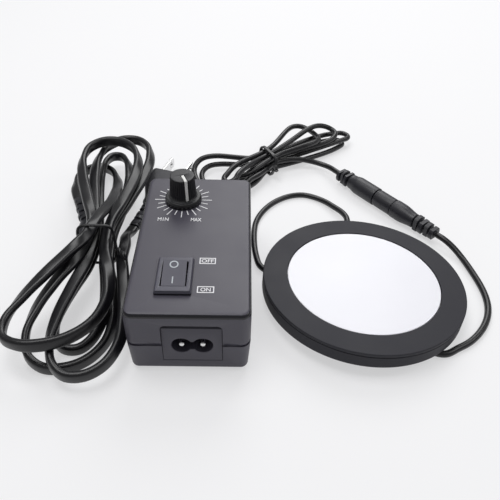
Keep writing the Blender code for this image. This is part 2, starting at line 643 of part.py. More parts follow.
def make_inlet():
    centre = CASE_X + INLET_OFFSET_X
    plate_front = CASE_FRONT + INLET_RECESS
    wall_inside = CASE_FRONT + CASE_WALL + taper_at(INLET_PLATE_BOTTOM)
    flange_front = wall_inside + CLEARANCE
    flange_back = flange_front + INLET_PLATE_THICKNESS
    body_back = plate_front + INLET_DEPTH
    inlet = front_prism("mains_inlet", inlet_outline(0), plate_front, flange_back, DARK_PLASTIC)
    flange_outline = [(centre - INLET_PLATE_WIDTH / 2 - INLET_FLANGE_OVERLAP, INLET_PLATE_BOTTOM),
                      (centre + INLET_PLATE_WIDTH / 2 + INLET_FLANGE_OVERLAP, INLET_PLATE_BOTTOM),
                      (centre + INLET_PLATE_WIDTH / 2 + INLET_FLANGE_OVERLAP, INLET_PLATE_TOP),
                      (centre - INLET_PLATE_WIDTH / 2 - INLET_FLANGE_OVERLAP, INLET_PLATE_TOP)]
    flange = front_prism("inlet_flange", flange_outline, flange_front, flange_back, DARK_PLASTIC)
    body_outline = [(centre + x, INLET_HEIGHT + z) for x, z in
                    rounded_ring(INLET_BODY_SIZE[0] / 2, INLET_BODY_SIZE[1] / 2, INLET_PLATE_CORNER, 3)]
    body = front_prism("inlet_body", body_outline, flange_front, body_back, DARK_PLASTIC)
    add(inlet, flange, body)
    socket_back = body_back - INLET_BACK_WALL
    socket = front_prism("inlet_socket", socket_outline(), plate_front - OVERRUN, socket_back, DARK_PLASTIC)
    cut(inlet, socket)
    for index, side in enumerate((-1, 1)):
        pin_x = centre + side * PIN_PITCH / 2
        name = ("inlet_pin_left", "inlet_pin_right")[index]
        tip = plate_front + PIN_TIP_DEPTH
        tail = body_back + PIN_TAIL
        profile = [(PIN_RADIUS / 2, 0), (PIN_RADIUS, PIN_RADIUS / 2), (PIN_RADIUS, tail - tip)]
        pin = turned(name, profile, NICKEL, PIN_STEPS)
        place(pin, (pin_x, tip, INLET_HEIGHT), (-math.pi / 2, 0, 0))
        hole = turned(f"pin_hole_{index}", [(PIN_RADIUS + CLEARANCE, 0),
                                            (PIN_RADIUS + CLEARANCE, INLET_BACK_WALL + 2 * OVERRUN)],
                      NICKEL, PIN_STEPS)
        place(hole, (pin_x, socket_back - OVERRUN, INLET_HEIGHT), (-math.pi / 2, 0, 0))
        cut(inlet, hole)


# Rocker switch
def make_switch():
    x, y = switch_centre()
    steps = 2
    bottom = CASE_HEIGHT + CLEARANCE
    body_low = CASE_HEIGHT - SWITCH_BODY_DEPTH
    rings = []
    stack = [(SWITCH_BODY_WIDTH / 2, SWITCH_BODY_LENGTH / 2, body_low),
             (SWITCH_BODY_WIDTH / 2, SWITCH_BODY_LENGTH / 2, bottom),
             (BEZEL_WIDTH / 2, BEZEL_LENGTH / 2, bottom),
             (BEZEL_WIDTH / 2 - BEZEL_SLOPE, BEZEL_LENGTH / 2 - BEZEL_SLOPE, BEZEL_TOP)]
    pocket_x = POCKET_WIDTH / 2
    pocket_y = POCKET_LENGTH / 2
    pocket_floor = BEZEL_TOP - POCKET_DEPTH
    stack += [(pocket_x, pocket_y, BEZEL_TOP), (pocket_x, pocket_y, pocket_floor)]
    for half_x, half_y, height in stack:
        ring = rounded_ring(half_x, half_y, BEZEL_SLOPE, steps)
        rings.append([(x + px, y + py, height) for px, py in ring])
    housing = skin("switch_housing", rings, DARK_PLASTIC)

    pivot_z = BEZEL_TOP - PIVOT_BELOW_BEZEL
    pivot = empty("rocker_pivot", (x, y, pivot_z), (ROCKER_HALF_ANGLE, 0, 0))
    trunnion_half = pocket_x + TRUNNION_LENGTH
    socket_profile = [(TRUNNION_RADIUS + CLEARANCE, -trunnion_half - CLEARANCE),
                      (TRUNNION_RADIUS + CLEARANCE, trunnion_half + CLEARANCE)]
    trunnion_hole = turned("trunnion_hole", socket_profile, DARK_PLASTIC, PIN_STEPS)
    place(trunnion_hole, (x, y, pivot_z), (0, math.pi / 2, 0))
    cut(housing, trunnion_hole)

    swing = pocket_y - CLEARANCE
    rise = ROCKER_CENTRE_HEIGHT + swing * math.sin(ROCKER_HALF_ANGLE)
    end_angle = math.asin(rise / swing)
    low_angle = -math.radians(14)
    outline = [(0, ROCKER_CENTRE_HEIGHT)]
    arc = [end_angle + (low_angle - end_angle) * step / 3 for step in range(4)]
    right = [(swing * math.cos(a), swing * math.sin(a)) for a in arc]
    foot = 0.62
    outline += right + [(swing * foot, -ROCKER_DEPTH), (-swing * foot, -ROCKER_DEPTH)]
    outline += [(-py, pz) for py, pz in reversed(right)]
    half = pocket_x - CLEARANCE
    rings = [[(side * half, py, pz) for py, pz in outline] for side in (-1, 1)]
    rocker = skin("rocker", rings, DARK_PLASTIC)
    trunnion = turned("trunnion", [(TRUNNION_RADIUS, -trunnion_half), (TRUNNION_RADIUS, trunnion_half)],
                      DARK_PLASTIC, PIN_STEPS)
    place(trunnion, (0, 0, 0), (0, math.pi / 2, 0), pivot)
    place(rocker, parent=pivot)
    add(rocker, trunnion)

    for index, share in enumerate(TERMINAL_PLACE_SHARES):
        size = TERMINAL_SIZE
        low = body_low - CLEARANCE - size[2]
        block(f"switch_terminal_{index + 1}", size, (x, y + share * SWITCH_BODY_LENGTH, low), NICKEL)


# Dimmer control: body and bush under the cover, nut above it, shaft inside, knob on top
def knob_profile(base, top):
    body_low = base + SKIRT_HEIGHT + FLUTE_DEPTH
    edge = (KNOB_BASE_RADIUS - KNOB_TOP_RADIUS) / 2
    return [(KNOB_BASE_RADIUS, body_low), (KNOB_TOP_RADIUS + edge, body_low + 4 * edge),
            (KNOB_TOP_RADIUS, top - edge), (KNOB_TOP_RADIUS - edge, top)]


def fluted_ring(radius, height, depth):
    points = []
    count = FLUTE_COUNT * 4
    for step in range(count):
        angle = 2 * math.pi * step / count
        reach = radius - depth * (0.5 - 0.5 * math.cos(FLUTE_COUNT * angle))
        points.append((reach * math.cos(angle), reach * math.sin(angle), height))
    return points


def pointer_outline(growth, knob_top, base):
    # The white line in its slot, in radius and height: over the top and down the side
    profile = knob_profile(base, knob_top)
    proud = POINTER_PROUD + growth
    depth = POINTER_DEPTH + growth
    low = profile[0][1] + CLEARANCE - growth
    start = POINTER_WIDTH - growth
    outer = [(start, knob_top + proud), (profile[3][0] + proud, knob_top + proud)]
    outer += [(profile[2][0] + proud, profile[2][1]), (profile[1][0] + proud, profile[1][1])]
    outer += [(profile[0][0] + proud, low)]
    inner = [(profile[0][0] - depth, low), (profile[1][0] - depth, profile[1][1])]
    inner += [(profile[3][0] - depth, knob_top - depth), (start, knob_top - depth)]
    return outer + inner


def make_control():
    x, y = knob_centre()
    inner_roof = CASE_HEIGHT - ROOF_THICKNESS
    body_top = inner_roof - CLEARANCE
    body_low = body_top - CONTROL_THICKNESS
    bush_top = CASE_HEIGHT + BUSH_ABOVE_ROOF
    bore = SHAFT_RADIUS + CLEARANCE
    bore_floor = body_low + CONTROL_THICKNESS / 2
    profile = [(CONTROL_RADIUS, body_low), (CONTROL_RADIUS, body_top), (BUSH_RADIUS, body_top),
               (BUSH_RADIUS, bush_top), (bore, bush_top), (bore, bore_floor)]
    place(turned("potentiometer", profile, STEEL), (x, y, 0))

    nut_low = CASE_HEIGHT + CLEARANCE
    nut = turned("potentiometer_nut", [(NUT_RADIUS, nut_low), (NUT_RADIUS, nut_low + NUT_THICKNESS)],
                 NICKEL, 6)
    place(nut, (x, y, 0))
    bush_clear = rod("nut_bore", BUSH_RADIUS + CLEARANCE, CASE_HEIGHT - OVERRUN, bush_top + OVERRUN,
                     (x, y), NICKEL, ROUND_STEPS)
    cut(nut, bush_clear)

    base = KNOB_LIFT
    top = KNOB_LIFT + KNOB_HEIGHT
    axis = empty("knob_axis", (x, y, CASE_HEIGHT), (0, 0, POINTER_ANGLE))
    shaft_top = top - 3 * POINTER_DEPTH - CLEARANCE
    shaft_low = bore_floor + CLEARANCE - CASE_HEIGHT
    shaft = turned("potentiometer_shaft", [(SHAFT_RADIUS, shaft_low), (SHAFT_RADIUS, shaft_top)], NICKEL)
    place(shaft, parent=axis)

    cavity_radius = NUT_RADIUS + 2 * CLEARANCE
    cavity_top = BUSH_ABOVE_ROOF + CLEARANCE
    skirt_top = base + SKIRT_HEIGHT
    edge = SKIRT_RADIUS - KNOB_BASE_RADIUS
    rings = [fluted_ring(bore, shaft_top + CLEARANCE, 0), fluted_ring(bore, cavity_top, 0)]
    rings += [fluted_ring(cavity_radius, cavity_top, 0), fluted_ring(cavity_radius, base, 0)]
    rings += [fluted_ring(SKIRT_RADIUS, base, 0), fluted_ring(SKIRT_RADIUS, base + SKIRT_HEIGHT / 2, 0)]
    rings += [fluted_ring(SKIRT_RADIUS - edge / 4, skirt_top, 0)]
    rings += [fluted_ring(KNOB_BASE_RADIUS + edge / 5, skirt_top, 0)]
    for radius, height in knob_profile(base, top)[:3]:
        rings.append(fluted_ring(radius, height, FLUTE_DEPTH))
    rings.append(fluted_ring(*knob_profile(base, top)[3], 0))
    knob = skin("knob", rings, KNOB_PLASTIC)
    place(knob, parent=axis)

    for name, growth, material in (("pointer_slot", CLEARANCE, KNOB_PLASTIC),
                                   ("knob_pointer", 0, WHITE_PLASTIC)):
        half = POINTER_WIDTH / 2 + growth
        outline = pointer_outline(growth, top, base)
        rings = [[(px, side * half, pz) for px, pz in outline] for side in (-1, 1)]
        bar = skin(name, rings, material)
        place(bar, parent=axis)
        if growth:
            cut(knob, bar)


# Light panel: tray, rim, diffuser, light guide, reflector, LED strip, screws and grommet
def panel_frame():
    foot_radius = PANEL_RADIUS - PANEL_FOOT_EDGE
    span = foot_radius + PANEL_LEAD_OFFSET - LAMP_LEAD_DIAMETER / 2
    rise = LAMP_LEAD_DIAMETER + TABLE_GAP + 2 * CLEARANCE
    lean = math.asin(rise / span)
    centre = Vector((CASE_X + PANEL_OFFSET_X, CASE_Y + PANEL_OFFSET_Y, foot_radius * math.sin(lean)))
    axis = Vector((-math.sin(PANEL_LEAN_DIRECTION), math.cos(PANEL_LEAN_DIRECTION), 0))
    rotation = Matrix.Rotation(lean, 4, axis)
    return centre, rotation


def panel_screw_places():
    for index in range(PANEL_SCREW_COUNT):
        angle = math.pi / 6 + 2 * math.pi * index / PANEL_SCREW_COUNT
        yield PANEL_SCREW_RING * math.cos(angle), PANEL_SCREW_RING * math.sin(angle)


def led_outline(inner, outer):
    # Inner edge of the strip, stepped where each LED stands proud, joined to the outer edge
    points_in = []
    for index in range(LED_COUNT):
        for share, proud in ((0.0, 0), (0.36, 0), (0.38, LED_HEIGHT), (0.62, LED_HEIGHT), (0.64, 0)):
            angle = 2 * math.pi * (index + share) / LED_COUNT
            points_in.append(((inner - proud) * math.cos(angle), (inner - proud) * math.sin(angle)))
    points_out = []
    for index in range(len(points_in)):
        x, y = points_in[index]
        angle = math.atan2(y, x)
        points_out.append((outer * math.cos(angle), outer * math.sin(angle)))
    return points_in, points_out


def make_panel():
    centre, rotation = panel_frame()
    panel = empty("panel_place", centre, rotation.to_euler())
    rim_low = PANEL_HEIGHT - PANEL_RIM_HEIGHT
    wall_top = rim_low - CLEARANCE
    wall_inside = PANEL_RADIUS - PANEL_WALL
    profile = [(PANEL_RADIUS - PANEL_FOOT_EDGE, 0), (PANEL_RADIUS, PANEL_FOOT_EDGE),
               (PANEL_RADIUS, wall_top), (wall_inside, wall_top), (wall_inside, PANEL_FLOOR)]
    tray = turned("lamp_housing", profile, PANEL_PAINT, PANEL_STEPS)
    place(tray, parent=panel)

    skirt_out = wall_inside - CLEARANCE
    skirt_in = skirt_out - RIM_SKIRT_WIDTH
    skirt_low = rim_low - RIM_SKIRT_HEIGHT
    profile = [(PANEL_WINDOW_RADIUS, rim_low), (skirt_in, rim_low), (skirt_in, skirt_low),
               (skirt_out, skirt_low), (skirt_out, rim_low), (PANEL_RADIUS, rim_low),
               (PANEL_RADIUS, PANEL_HEIGHT - PANEL_EDGE), (PANEL_RADIUS - PANEL_EDGE, PANEL_HEIGHT),
               (PANEL_WINDOW_RADIUS, PANEL_HEIGHT)]
    rim = turned("lamp_rim", profile, PANEL_PAINT, PANEL_STEPS, joined=True)
    place(rim, parent=panel)

    window = PANEL_WINDOW_RADIUS - CLEARANCE
    ledge_top = rim_low - CLEARANCE
    ledge_low = ledge_top - DIFFUSER_THICKNESS
    ledge = PANEL_WINDOW_RADIUS + DIFFUSER_LEDGE
    profile = [(ledge, ledge_low), (ledge, ledge_top), (window, ledge_top),
               (window, PANEL_HEIGHT - CLEARANCE)]
    place(turned("diffuser", profile, DIFFUSER_WHITE, PANEL_STEPS), parent=panel)

    guide_radius = PANEL_WINDOW_RADIUS + GUIDE_OVERLAP
    guide_top = ledge_low - CLEARANCE
    guide_low = guide_top - GUIDE_THICKNESS
    place(turned("light_guide", [(guide_radius, guide_low), (guide_radius, guide_top)], CLEAR_ACRYLIC,
                 PANEL_STEPS), parent=panel)
    sheet_top = guide_low - CLEARANCE
    sheet = [(guide_radius, sheet_top - REFLECTOR_THICKNESS), (guide_radius, sheet_top)]
    place(turned("reflector_sheet", sheet, WHITE_PLASTIC, PANEL_STEPS), parent=panel)

    strip_in = guide_radius + LED_HEIGHT + CLEARANCE
    inner, outer = led_outline(strip_in, strip_in + LED_BOARD_THICKNESS)
    strip_low = PANEL_FLOOR + CLEARANCE
    rings = [[(x, y, strip_low) for x, y in outer], [(x, y, guide_top) for x, y in outer]]
    rings += [[(x, y, guide_top) for x, y in inner], [(x, y, strip_low) for x, y in inner]]
    place(skin("led_ring", rings, WHITE_PLASTIC, joined=True), parent=panel)

    boss_top = PANEL_FLOOR + PANEL_BOSS_HEIGHT
    post_low = rim_low - PANEL_POST_LENGTH
    shank = PANEL_SCREW_RADIUS
    head_low = CLEARANCE
    head_top = head_low + PANEL_SCREW_HEAD
    for index, (x, y) in enumerate(panel_screw_places()):
        boss = rod(f"panel_boss_{index}", PANEL_BOSS_RADIUS, PANEL_FLOOR / 2, boss_top, (x, y), PANEL_PAINT)
        well = rod(f"panel_well_{index}", PANEL_SCREW_HEAD_RADIUS + CLEARANCE, -OVERRUN,
                   head_top + CLEARANCE, (x, y), PANEL_PAINT)
        hole = rod(f"panel_hole_{index}", shank + CLEARANCE, -OVERRUN, boss_top + OVERRUN, (x, y),
                   PANEL_PAINT)
        post = rod(f"panel_post_{index}", PANEL_POST_RADIUS, post_low, rim_low + PANEL_RIM_HEIGHT / 2,
                   (x, y), PANEL_PAINT)
        screw_top = rim_low - CLEARANCE
        pilot = rod(f"panel_pilot_{index}", shank + CLEARANCE, post_low - OVERRUN, rim_low, (x, y),
                    PANEL_PAINT)
        for tool in (boss, well, hole, post, pilot):
            tool.parent = panel
        add(tray, boss)
        cut(tray, well, hole)
        add(rim, post)
        cut(rim, pilot)
        profile = [(PANEL_SCREW_HEAD_RADIUS, head_low), (PANEL_SCREW_HEAD_RADIUS, head_top),
                   (shank, head_top), (shank, screw_top)]
        screw = turned(f"lamp_screw_{index + 1}", profile, STEEL, PIN_STEPS)
        place(screw, (x, y, 0), parent=panel)

    neck = PANEL_GROMMET_NECK
    flange = neck + PANEL_GROMMET_FLANGE
    hole = turned("panel_grommet_hole", [(neck + CLEARANCE, -OVERRUN),
                                         (neck + CLEARANCE, PANEL_WALL + 2 * OVERRUN)],
                  BLACK_RUBBER, PIN_STEPS)
    notch = turned("rim_notch", [(flange + CLEARANCE, -RIM_SKIRT_WIDTH - OVERRUN),
                                 (flange + CLEARANCE, OVERRUN)], BLACK_RUBBER, PIN_STEPS)
    for tool, start in ((hole, wall_inside - OVERRUN), (notch, skirt_out)):
        place(tool, (0, start, PANEL_GROMMET_HEIGHT), (-math.pi / 2, 0, 0), panel)
    cut(tray, hole)
    cut(rim, notch)
    inside = -PANEL_WALL - CLEARANCE
    profile = [(flange, inside - PANEL_FLOOR / 2), (flange, inside), (neck, inside), (neck, CLEARANCE),
               (flange, CLEARANCE), (flange, 3 * CLEARANCE),
               (LAMP_LEAD_DIAMETER / 2 + CLEARANCE, PANEL_GROMMET_TAIL)]
    grommet = turned("lamp_grommet", profile, BLACK_RUBBER, PIN_STEPS)
    place(grommet, (0, PANEL_RADIUS, PANEL_GROMMET_HEIGHT), (-math.pi / 2, 0, 0), panel)
    return centre, rotation


# Moulded plugs: sections along local X, round or oblong, from the cord end forward
def moulded(name, stations, material, steps=3):
    rings = []
    for along, half_width, half_height, radius in stations:
        corner = min(radius, half_width, half_height)
        ring = rounded_ring(half_width, half_height, corner, steps)
        rings.append([(along, y, z) for y, z in ring])
    return skin(name, rings, material)


def ribbed(length, start_radius, end_radius, count=RIB_COUNT, groove_share=0.78):
    # Stations of a flexible relief: ribs divided by grooves, with a plain first length
    stations = []
    lead_in = length / (2 * count)
    for index in range(2 * count):
        share = index / (2 * count)
        radius = start_radius + (end_radius - start_radius) * share
        if index % 2 == 1:
            radius *= groove_share
        first = share * length + lead_in / 6
        last = (share + 1 / (2 * count)) * length - lead_in / 6
        stations += [(first, radius, radius, radius), (last, radius, radius, radius)]
    stations[0] = (0, stations[0][1], stations[0][2], stations[0][3])
    return stations


def plug_frame(name, location, azimuth):
    return empty(name, location, (0, 0, azimuth))


def make_joint():
    # Output socket and lamp plug on one level line; local X runs from the socket to the plug
    x, y = JOINT_PLACE
    line = plug_frame("joint_line", (CASE_X + x, CASE_Y + y, JOINT_HEIGHT), JOINT_AZIMUTH)
    relief = SOCKET_LENGTH / 3
    start = OUTPUT_LEAD_DIAMETER / 2 + 3 * CLEARANCE
    stations = [(along - SOCKET_LENGTH, a, b, c) for along, a, b, c in
                ribbed(relief, start, SOCKET_RADIUS * 0.8)]
    stations += [(relief - SOCKET_LENGTH, SOCKET_RADIUS * 0.8, SOCKET_RADIUS * 0.8, SOCKET_RADIUS),
                 (relief * 1.5 - SOCKET_LENGTH, SOCKET_RADIUS, SOCKET_RADIUS, SOCKET_RADIUS),
                 (-CLEARANCE / 2, SOCKET_RADIUS, SOCKET_RADIUS, SOCKET_RADIUS)]
    socket = moulded("output_socket", stations, BLACK_RUBBER, 4)
    place(socket, parent=line)
    bore_radius = BARREL_RADIUS + CLEARANCE
    bore_length = BARREL_LENGTH + OVERRUN
    bore = turned("socket_bore", [(bore_radius, -bore_length), (bore_radius, OVERRUN)], NICKEL, PIN_STEPS)
    place(bore, (0, 0, 0), (0, math.pi / 2, 0), line)
    cut(socket, bore)

    front = CLEARANCE / 2
    relief = PLUG_LENGTH / 3
    body = PLUG_LENGTH - relief
    end = LAMP_LEAD_DIAMETER / 2 + 3 * CLEARANCE
    stations = [(front, PLUG_RADIUS, PLUG_RADIUS, PLUG_RADIUS),
                (body * 0.55, PLUG_RADIUS, PLUG_RADIUS, PLUG_RADIUS),
                (body * 0.8, PLUG_RADIUS * 0.94, PLUG_RADIUS * 0.94, PLUG_RADIUS),
                (body, PLUG_RADIUS * 0.8, PLUG_RADIUS * 0.8, PLUG_RADIUS)]
    back = ribbed(relief, end, PLUG_RADIUS * 0.9)
    stations += [(PLUG_LENGTH - along, a, b, c) for along, a, b, c in reversed(back)]
    plug = moulded("lamp_plug", stations, BLACK_RUBBER, 4)
    place(plug, parent=line)
    seat_depth = PLUG_RADIUS
    seat = turned("barrel_seat", [(bore_radius, -OVERRUN), (bore_radius, seat_depth)], NICKEL, PIN_STEPS)
    place(seat, (0, 0, 0), (0, math.pi / 2, 0), line)
    cut(plug, seat)
    bore_in = BARREL_RADIUS - BARREL_WALL
    profile = [(bore_in, -BARREL_LENGTH), (BARREL_RADIUS, -BARREL_LENGTH),
               (BARREL_RADIUS, seat_depth - CLEARANCE), (bore_in, seat_depth - CLEARANCE)]
    barrel = turned("lamp_plug_barrel", profile, NICKEL, PIN_STEPS, joined=True)
    place(barrel, (0, 0, 0), (0, math.pi / 2, 0), line)
    return line


def make_mains_plug():
    x, y = MAINS_PLUG_PLACE
    frame = plug_frame("mains_plug_place", (CASE_X + x, CASE_Y + y, MAINS_PLUG_HEIGHT), MAINS_PLUG_AZIMUTH)
    start = MAINS_LEAD_DIAMETER / 2 + 3 * CLEARANCE
    shoulder = MAINS_PLUG_THICKNESS / 2
    stations = ribbed(MAINS_RELIEF_LENGTH, start, shoulder * 0.62)
    tail = MAINS_RELIEF_LENGTH
    half_width = MAINS_PLUG_WIDTH / 2
    corner = MAINS_PLUG_THICKNESS / 3
    for share, width_share, height_share in ((0.0, 0.42, 0.74), (0.22, 0.58, 0.90), (0.60, 0.90, 1.0),
                                             (0.95, 1.0, 1.0), (1.0, 0.95, 0.92)):
        stations.append((tail + MAINS_PLUG_LENGTH * share, half_width * width_share,
                         shoulder * height_share, corner))
    plug = moulded("mains_plug", stations, BLACK_RUBBER)
    place(plug, parent=frame)
    face = tail + MAINS_PLUG_LENGTH
    seat_depth = BLADE_SIZE[0] / 4
    for index, side in enumerate((-1, 1)):
        y = side * BLADE_PITCH / 2
        slot_size = (2 * seat_depth, BLADE_SIZE[1] + 2 * CLEARANCE, BLADE_SIZE[2] + 2 * CLEARANCE)
        slot = block(f"blade_slot_{index}", slot_size, (face, y, -slot_size[2] / 2), NICKEL)
        slot.parent = frame
        cut(plug, slot)
        length = BLADE_SIZE[0] + seat_depth - CLEARANCE
        middle = face + (BLADE_SIZE[0] - seat_depth + CLEARANCE) / 2
        blade = block(f"mains_blade_{index + 1}", (length, BLADE_SIZE[1], BLADE_SIZE[2]),
                      (middle, y, -BLADE_SIZE[2] / 2), NICKEL)
        blade.parent = frame
    return frame


def make_mains_connector():
    x, y = CONNECTOR_PLACE
    frame = plug_frame("connector_place", (CASE_X + x, CASE_Y + y, CONNECTOR_HEIGHT), CONNECTOR_AZIMUTH)
    start = MAINS_LEAD_DIAMETER / 2 + 3 * CLEARANCE
    half_height = CONNECTOR_THICKNESS / 2
    stations = ribbed(CONNECTOR_RELIEF_LENGTH, start, half_height * 0.95)
    tail = CONNECTOR_RELIEF_LENGTH
    half_width = CONNECTOR_WIDTH / 2
    for share, width_share, height_share in ((0.0, 0.62, 0.96), (0.25, 1.0, 1.0), (0.62, 1.0, 1.0),
                                             (0.66, 0.94, 0.94), (1.0, 0.94, 0.94)):
        stations.append((tail + CONNECTOR_LENGTH * share, half_width * width_share,
                         half_height * height_share, half_height))
    connector = moulded("mains_connector", stations, BLACK_RUBBER)
    place(connector, parent=frame)
    face = tail + CONNECTOR_LENGTH
    for index, side in enumerate((-1, 1)):
        radius = PIN_RADIUS + CLEARANCE
        profile = [(radius, -INLET_DEPTH / 2), (radius, OVERRUN)]
        bore = turned(f"connector_bore_{index}", profile, NICKEL, PIN_STEPS)
        place(bore, (face, side * PIN_PITCH / 2, 0), (0, math.pi / 2, 0), frame)
        cut(connector, bore)
    return frame


def make_output_grommet():
    neck = GROMMET_NECK_RADIUS
    flange = GROMMET_FLANGE_RADIUS
    wall = CASE_WALL + taper_at(PARTING_HEIGHT - flange) + CLEARANCE
    tip = OUTPUT_LEAD_DIAMETER / 2 + CLEARANCE
    inside = -wall
    profile = [(flange, inside - RIM_THICKNESS), (flange, inside), (neck, inside), (neck, CLEARANCE),
               (flange, CLEARANCE), (flange, CLEARANCE + RIM_THICKNESS), (neck, 3 * RIM_THICKNESS),
               (tip, GROMMET_TAIL)]
    grommet = turned("output_grommet", profile, BLACK_RUBBER, PIN_STEPS)
    place(grommet, (CASE_X + OUTPUT_GROMMET_OFFSET_X, CASE_BACK, PARTING_HEIGHT), (-math.pi / 2, 0, 0))


# Cords: tubes about a line of points
def from_case(point):
    return Vector((CASE_X + point[0], CASE_Y + point[1], point[2]))


def smooth_route(points):
    # A smooth curve through the route points, as closely spaced points
    dense = []
    for index in range(len(points) - 1):
        before = points[max(index - 1, 0)]
        start = points[index]
        end = points[index + 1]
        after = points[min(index + 2, len(points) - 1)]
        for step in range(16):
            u = step / 16
            straight = 2 * start + (end - before) * u
            bend = (2 * before - 5 * start + 4 * end - after) * u * u
            twist = (3 * start - before - 3 * end + after) * u * u * u
            dense.append((straight + bend + twist) / 2)
    dense.append(points[-1])
    return dense


def spaced_route(points, diameter, spacing_share=2.2):
    # The smooth curve read off at even steps, with a straight length of one diameter at each end
    dense = smooth_route(points)
    lengths = [0.0]
    for start, end in zip(dense, dense[1:]):
        lengths.append(lengths[-1] + (end - start).length)
    total = lengths[-1]
    count = max(2, round((total - 2 * diameter) / (diameter * spacing_share)))
    step = (total - 2 * diameter) / count
    wanted = [0.0] + [diameter + step * index for index in range(count + 1)] + [total]
    route = []
    place_index = 0
    for length in wanted:
        while place_index < len(lengths) - 2 and lengths[place_index + 1] < length:
            place_index += 1
        span = lengths[place_index + 1] - lengths[place_index]
        share = (length - lengths[place_index]) / span
        route.append(dense[place_index].lerp(dense[place_index + 1], share))
    return route


def tube(name, route, diameter, material, resolution=2):
    curve = bpy.data.curves.new(name, 'CURVE')
    curve.dimensions = '3D'
    curve.bevel_depth = diameter / 2
    curve.bevel_resolution = resolution
    curve.use_fill_caps = True
    spline = curve.splines.new('POLY')
    spline.points.add(len(route) - 1)
    for point, position in zip(spline.points, route):
        point.co = (*position, 1.0)
    curve.materials.append(material)
    obj = bpy.data.objects.new(name, curve)
    bpy.context.collection.objects.link(obj)
    return obj


def least_gap(name, route, diameter):
    # How near the surface of a tube comes to itself, away from its own bend
    samples = []
    lengths = []
    travelled = 0.0
    for start, end in zip(route, route[1:]):
        length = (end - start).length
        count = max(1, round(length / (diameter / 4)))
        for step in range(count):
            samples.append(start.lerp(end, step / count))
            lengths.append(travelled + length * step / count)
        travelled += length
    grid = np.array([tuple(sample) for sample in samples])
    along = np.array(lengths)
    apart = np.linalg.norm(grid[:, None] - grid[None], axis=2)
    apart[np.abs(along[:, None] - along[None]) < 6 * diameter] = travelled
    first, second = np.unravel_index(np.argmin(apart), apart.shape)
    gap = apart[first, second] - diameter
    print(f"{name}: {travelled:.3f} m long, least gap to itself {gap * 1000:.2f} mm")


def half_turn(waist, axis, start_slot, end_slot, shape):
    # One half turn of a hank: out from the waist to a tip and back, by formula
    side = Vector((-axis.y, axis.x, 0))
    points = []
    count = 12
    for index in range(count):
        turn = (index + 0.5) / count
        out = math.sin(math.pi * turn)
        across = math.cos(math.pi * turn)
        column = start_slot[0] * max(across, 0) + end_slot[0] * max(-across, 0)
        bulge = shape["width"] * across * out ** shape.get("width_power", 1.5)
        lean = shape["lean"] * out ** shape.get("lean_power", 1.6)
        first = turn < 0.5
        level = start_slot[1] if first else end_slot[1]
        power = shape.get("start_power", 1.0) if first else shape.get("end_power", 1.0)
        lift = shape.get("start_lift", 0) if first else shape.get("end_lift", 0)
        height = level + (shape["tip"] - level) * out ** power
        height += lift * math.sin(2 * math.pi * turn) ** 2
        point = waist + axis * shape["reach"] * out + side * (column + bulge + lean)
        points.append(Vector((point.x, point.y, height)))
    return points


def waist_box(routes, waist, axis, diameter):
    # The narrowest upright rectangle, across and in height, that holds every strand at the waist
    side = Vector((-axis.y, axis.x, 0))
    across = []
    heights = []
    for route in routes:
        for start, end in zip(route, route[1:]):
            for step in range(9):
                point = start.lerp(end, step / 8)
                offset = point - waist
                if abs(offset.dot(axis)) < diameter / 2:
                    across.append(offset.dot(side))
                    heights.append(point.z)
    return min(across), max(across), min(heights), max(heights)


def tie_route(waist, axis, box, diameter, tail):
    # Wire once round the waist, then its two ends twisted together along the tail
    side = Vector((-axis.y, axis.x, 0))
    reach = diameter / 2 + TIE_WIRE / 2 + CLEARANCE
    low_across, high_across, low, high = box
    half_width = (high_across - low_across) / 2 + reach
    middle_across = (high_across + low_across) / 2
    ring = rounded_ring(half_width, (high - low) / 2 + reach, reach, 4)
    middle = (low + high) / 2
    start = min(range(len(ring)), key=lambda index: (ring[index][0] * tail["side"], ring[index][1]))
    ordered = [ring[(start + index) % len(ring)] for index in range(len(ring))]
    points = []
    for index, (across, height) in enumerate(ordered):
        forward = TIE_WIRE * (index / len(ordered) - 0.5) * 2.4
        turn_side = side * (middle_across + across)
        points.append(waist + turn_side + axis * forward + Vector((0, 0, middle + height)))
    direction = tail["direction"].normalized()
    root = (points[0] + points[-1]) / 2 + direction * TIE_WIRE * 1.5
    first_side = (points[-1] - points[0])
    first_side = (first_side - direction * first_side.dot(direction)).normalized()
    second_side = direction.cross(first_side)
    strands = ([], [])
    for index in range(tail["steps"] + 1):
        angle = 2 * math.pi * index / 8
        swing = (first_side * math.cos(angle) + second_side * math.sin(angle)) * TIE_WIRE * 0.75
        base = root + direction * TIE_WIRE * tail["pitch_share"] * index
        strands[0].append(base - swing)
        strands[1].append(base + swing)
    return list(reversed(strands[0])) + points + strands[1]


def frame_point(holder, along, across=0, up=0):
    turn = Matrix.Rotation(holder.rotation_euler.z, 4, 'Z')
    return holder.location + turn @ Vector((along, across, up))


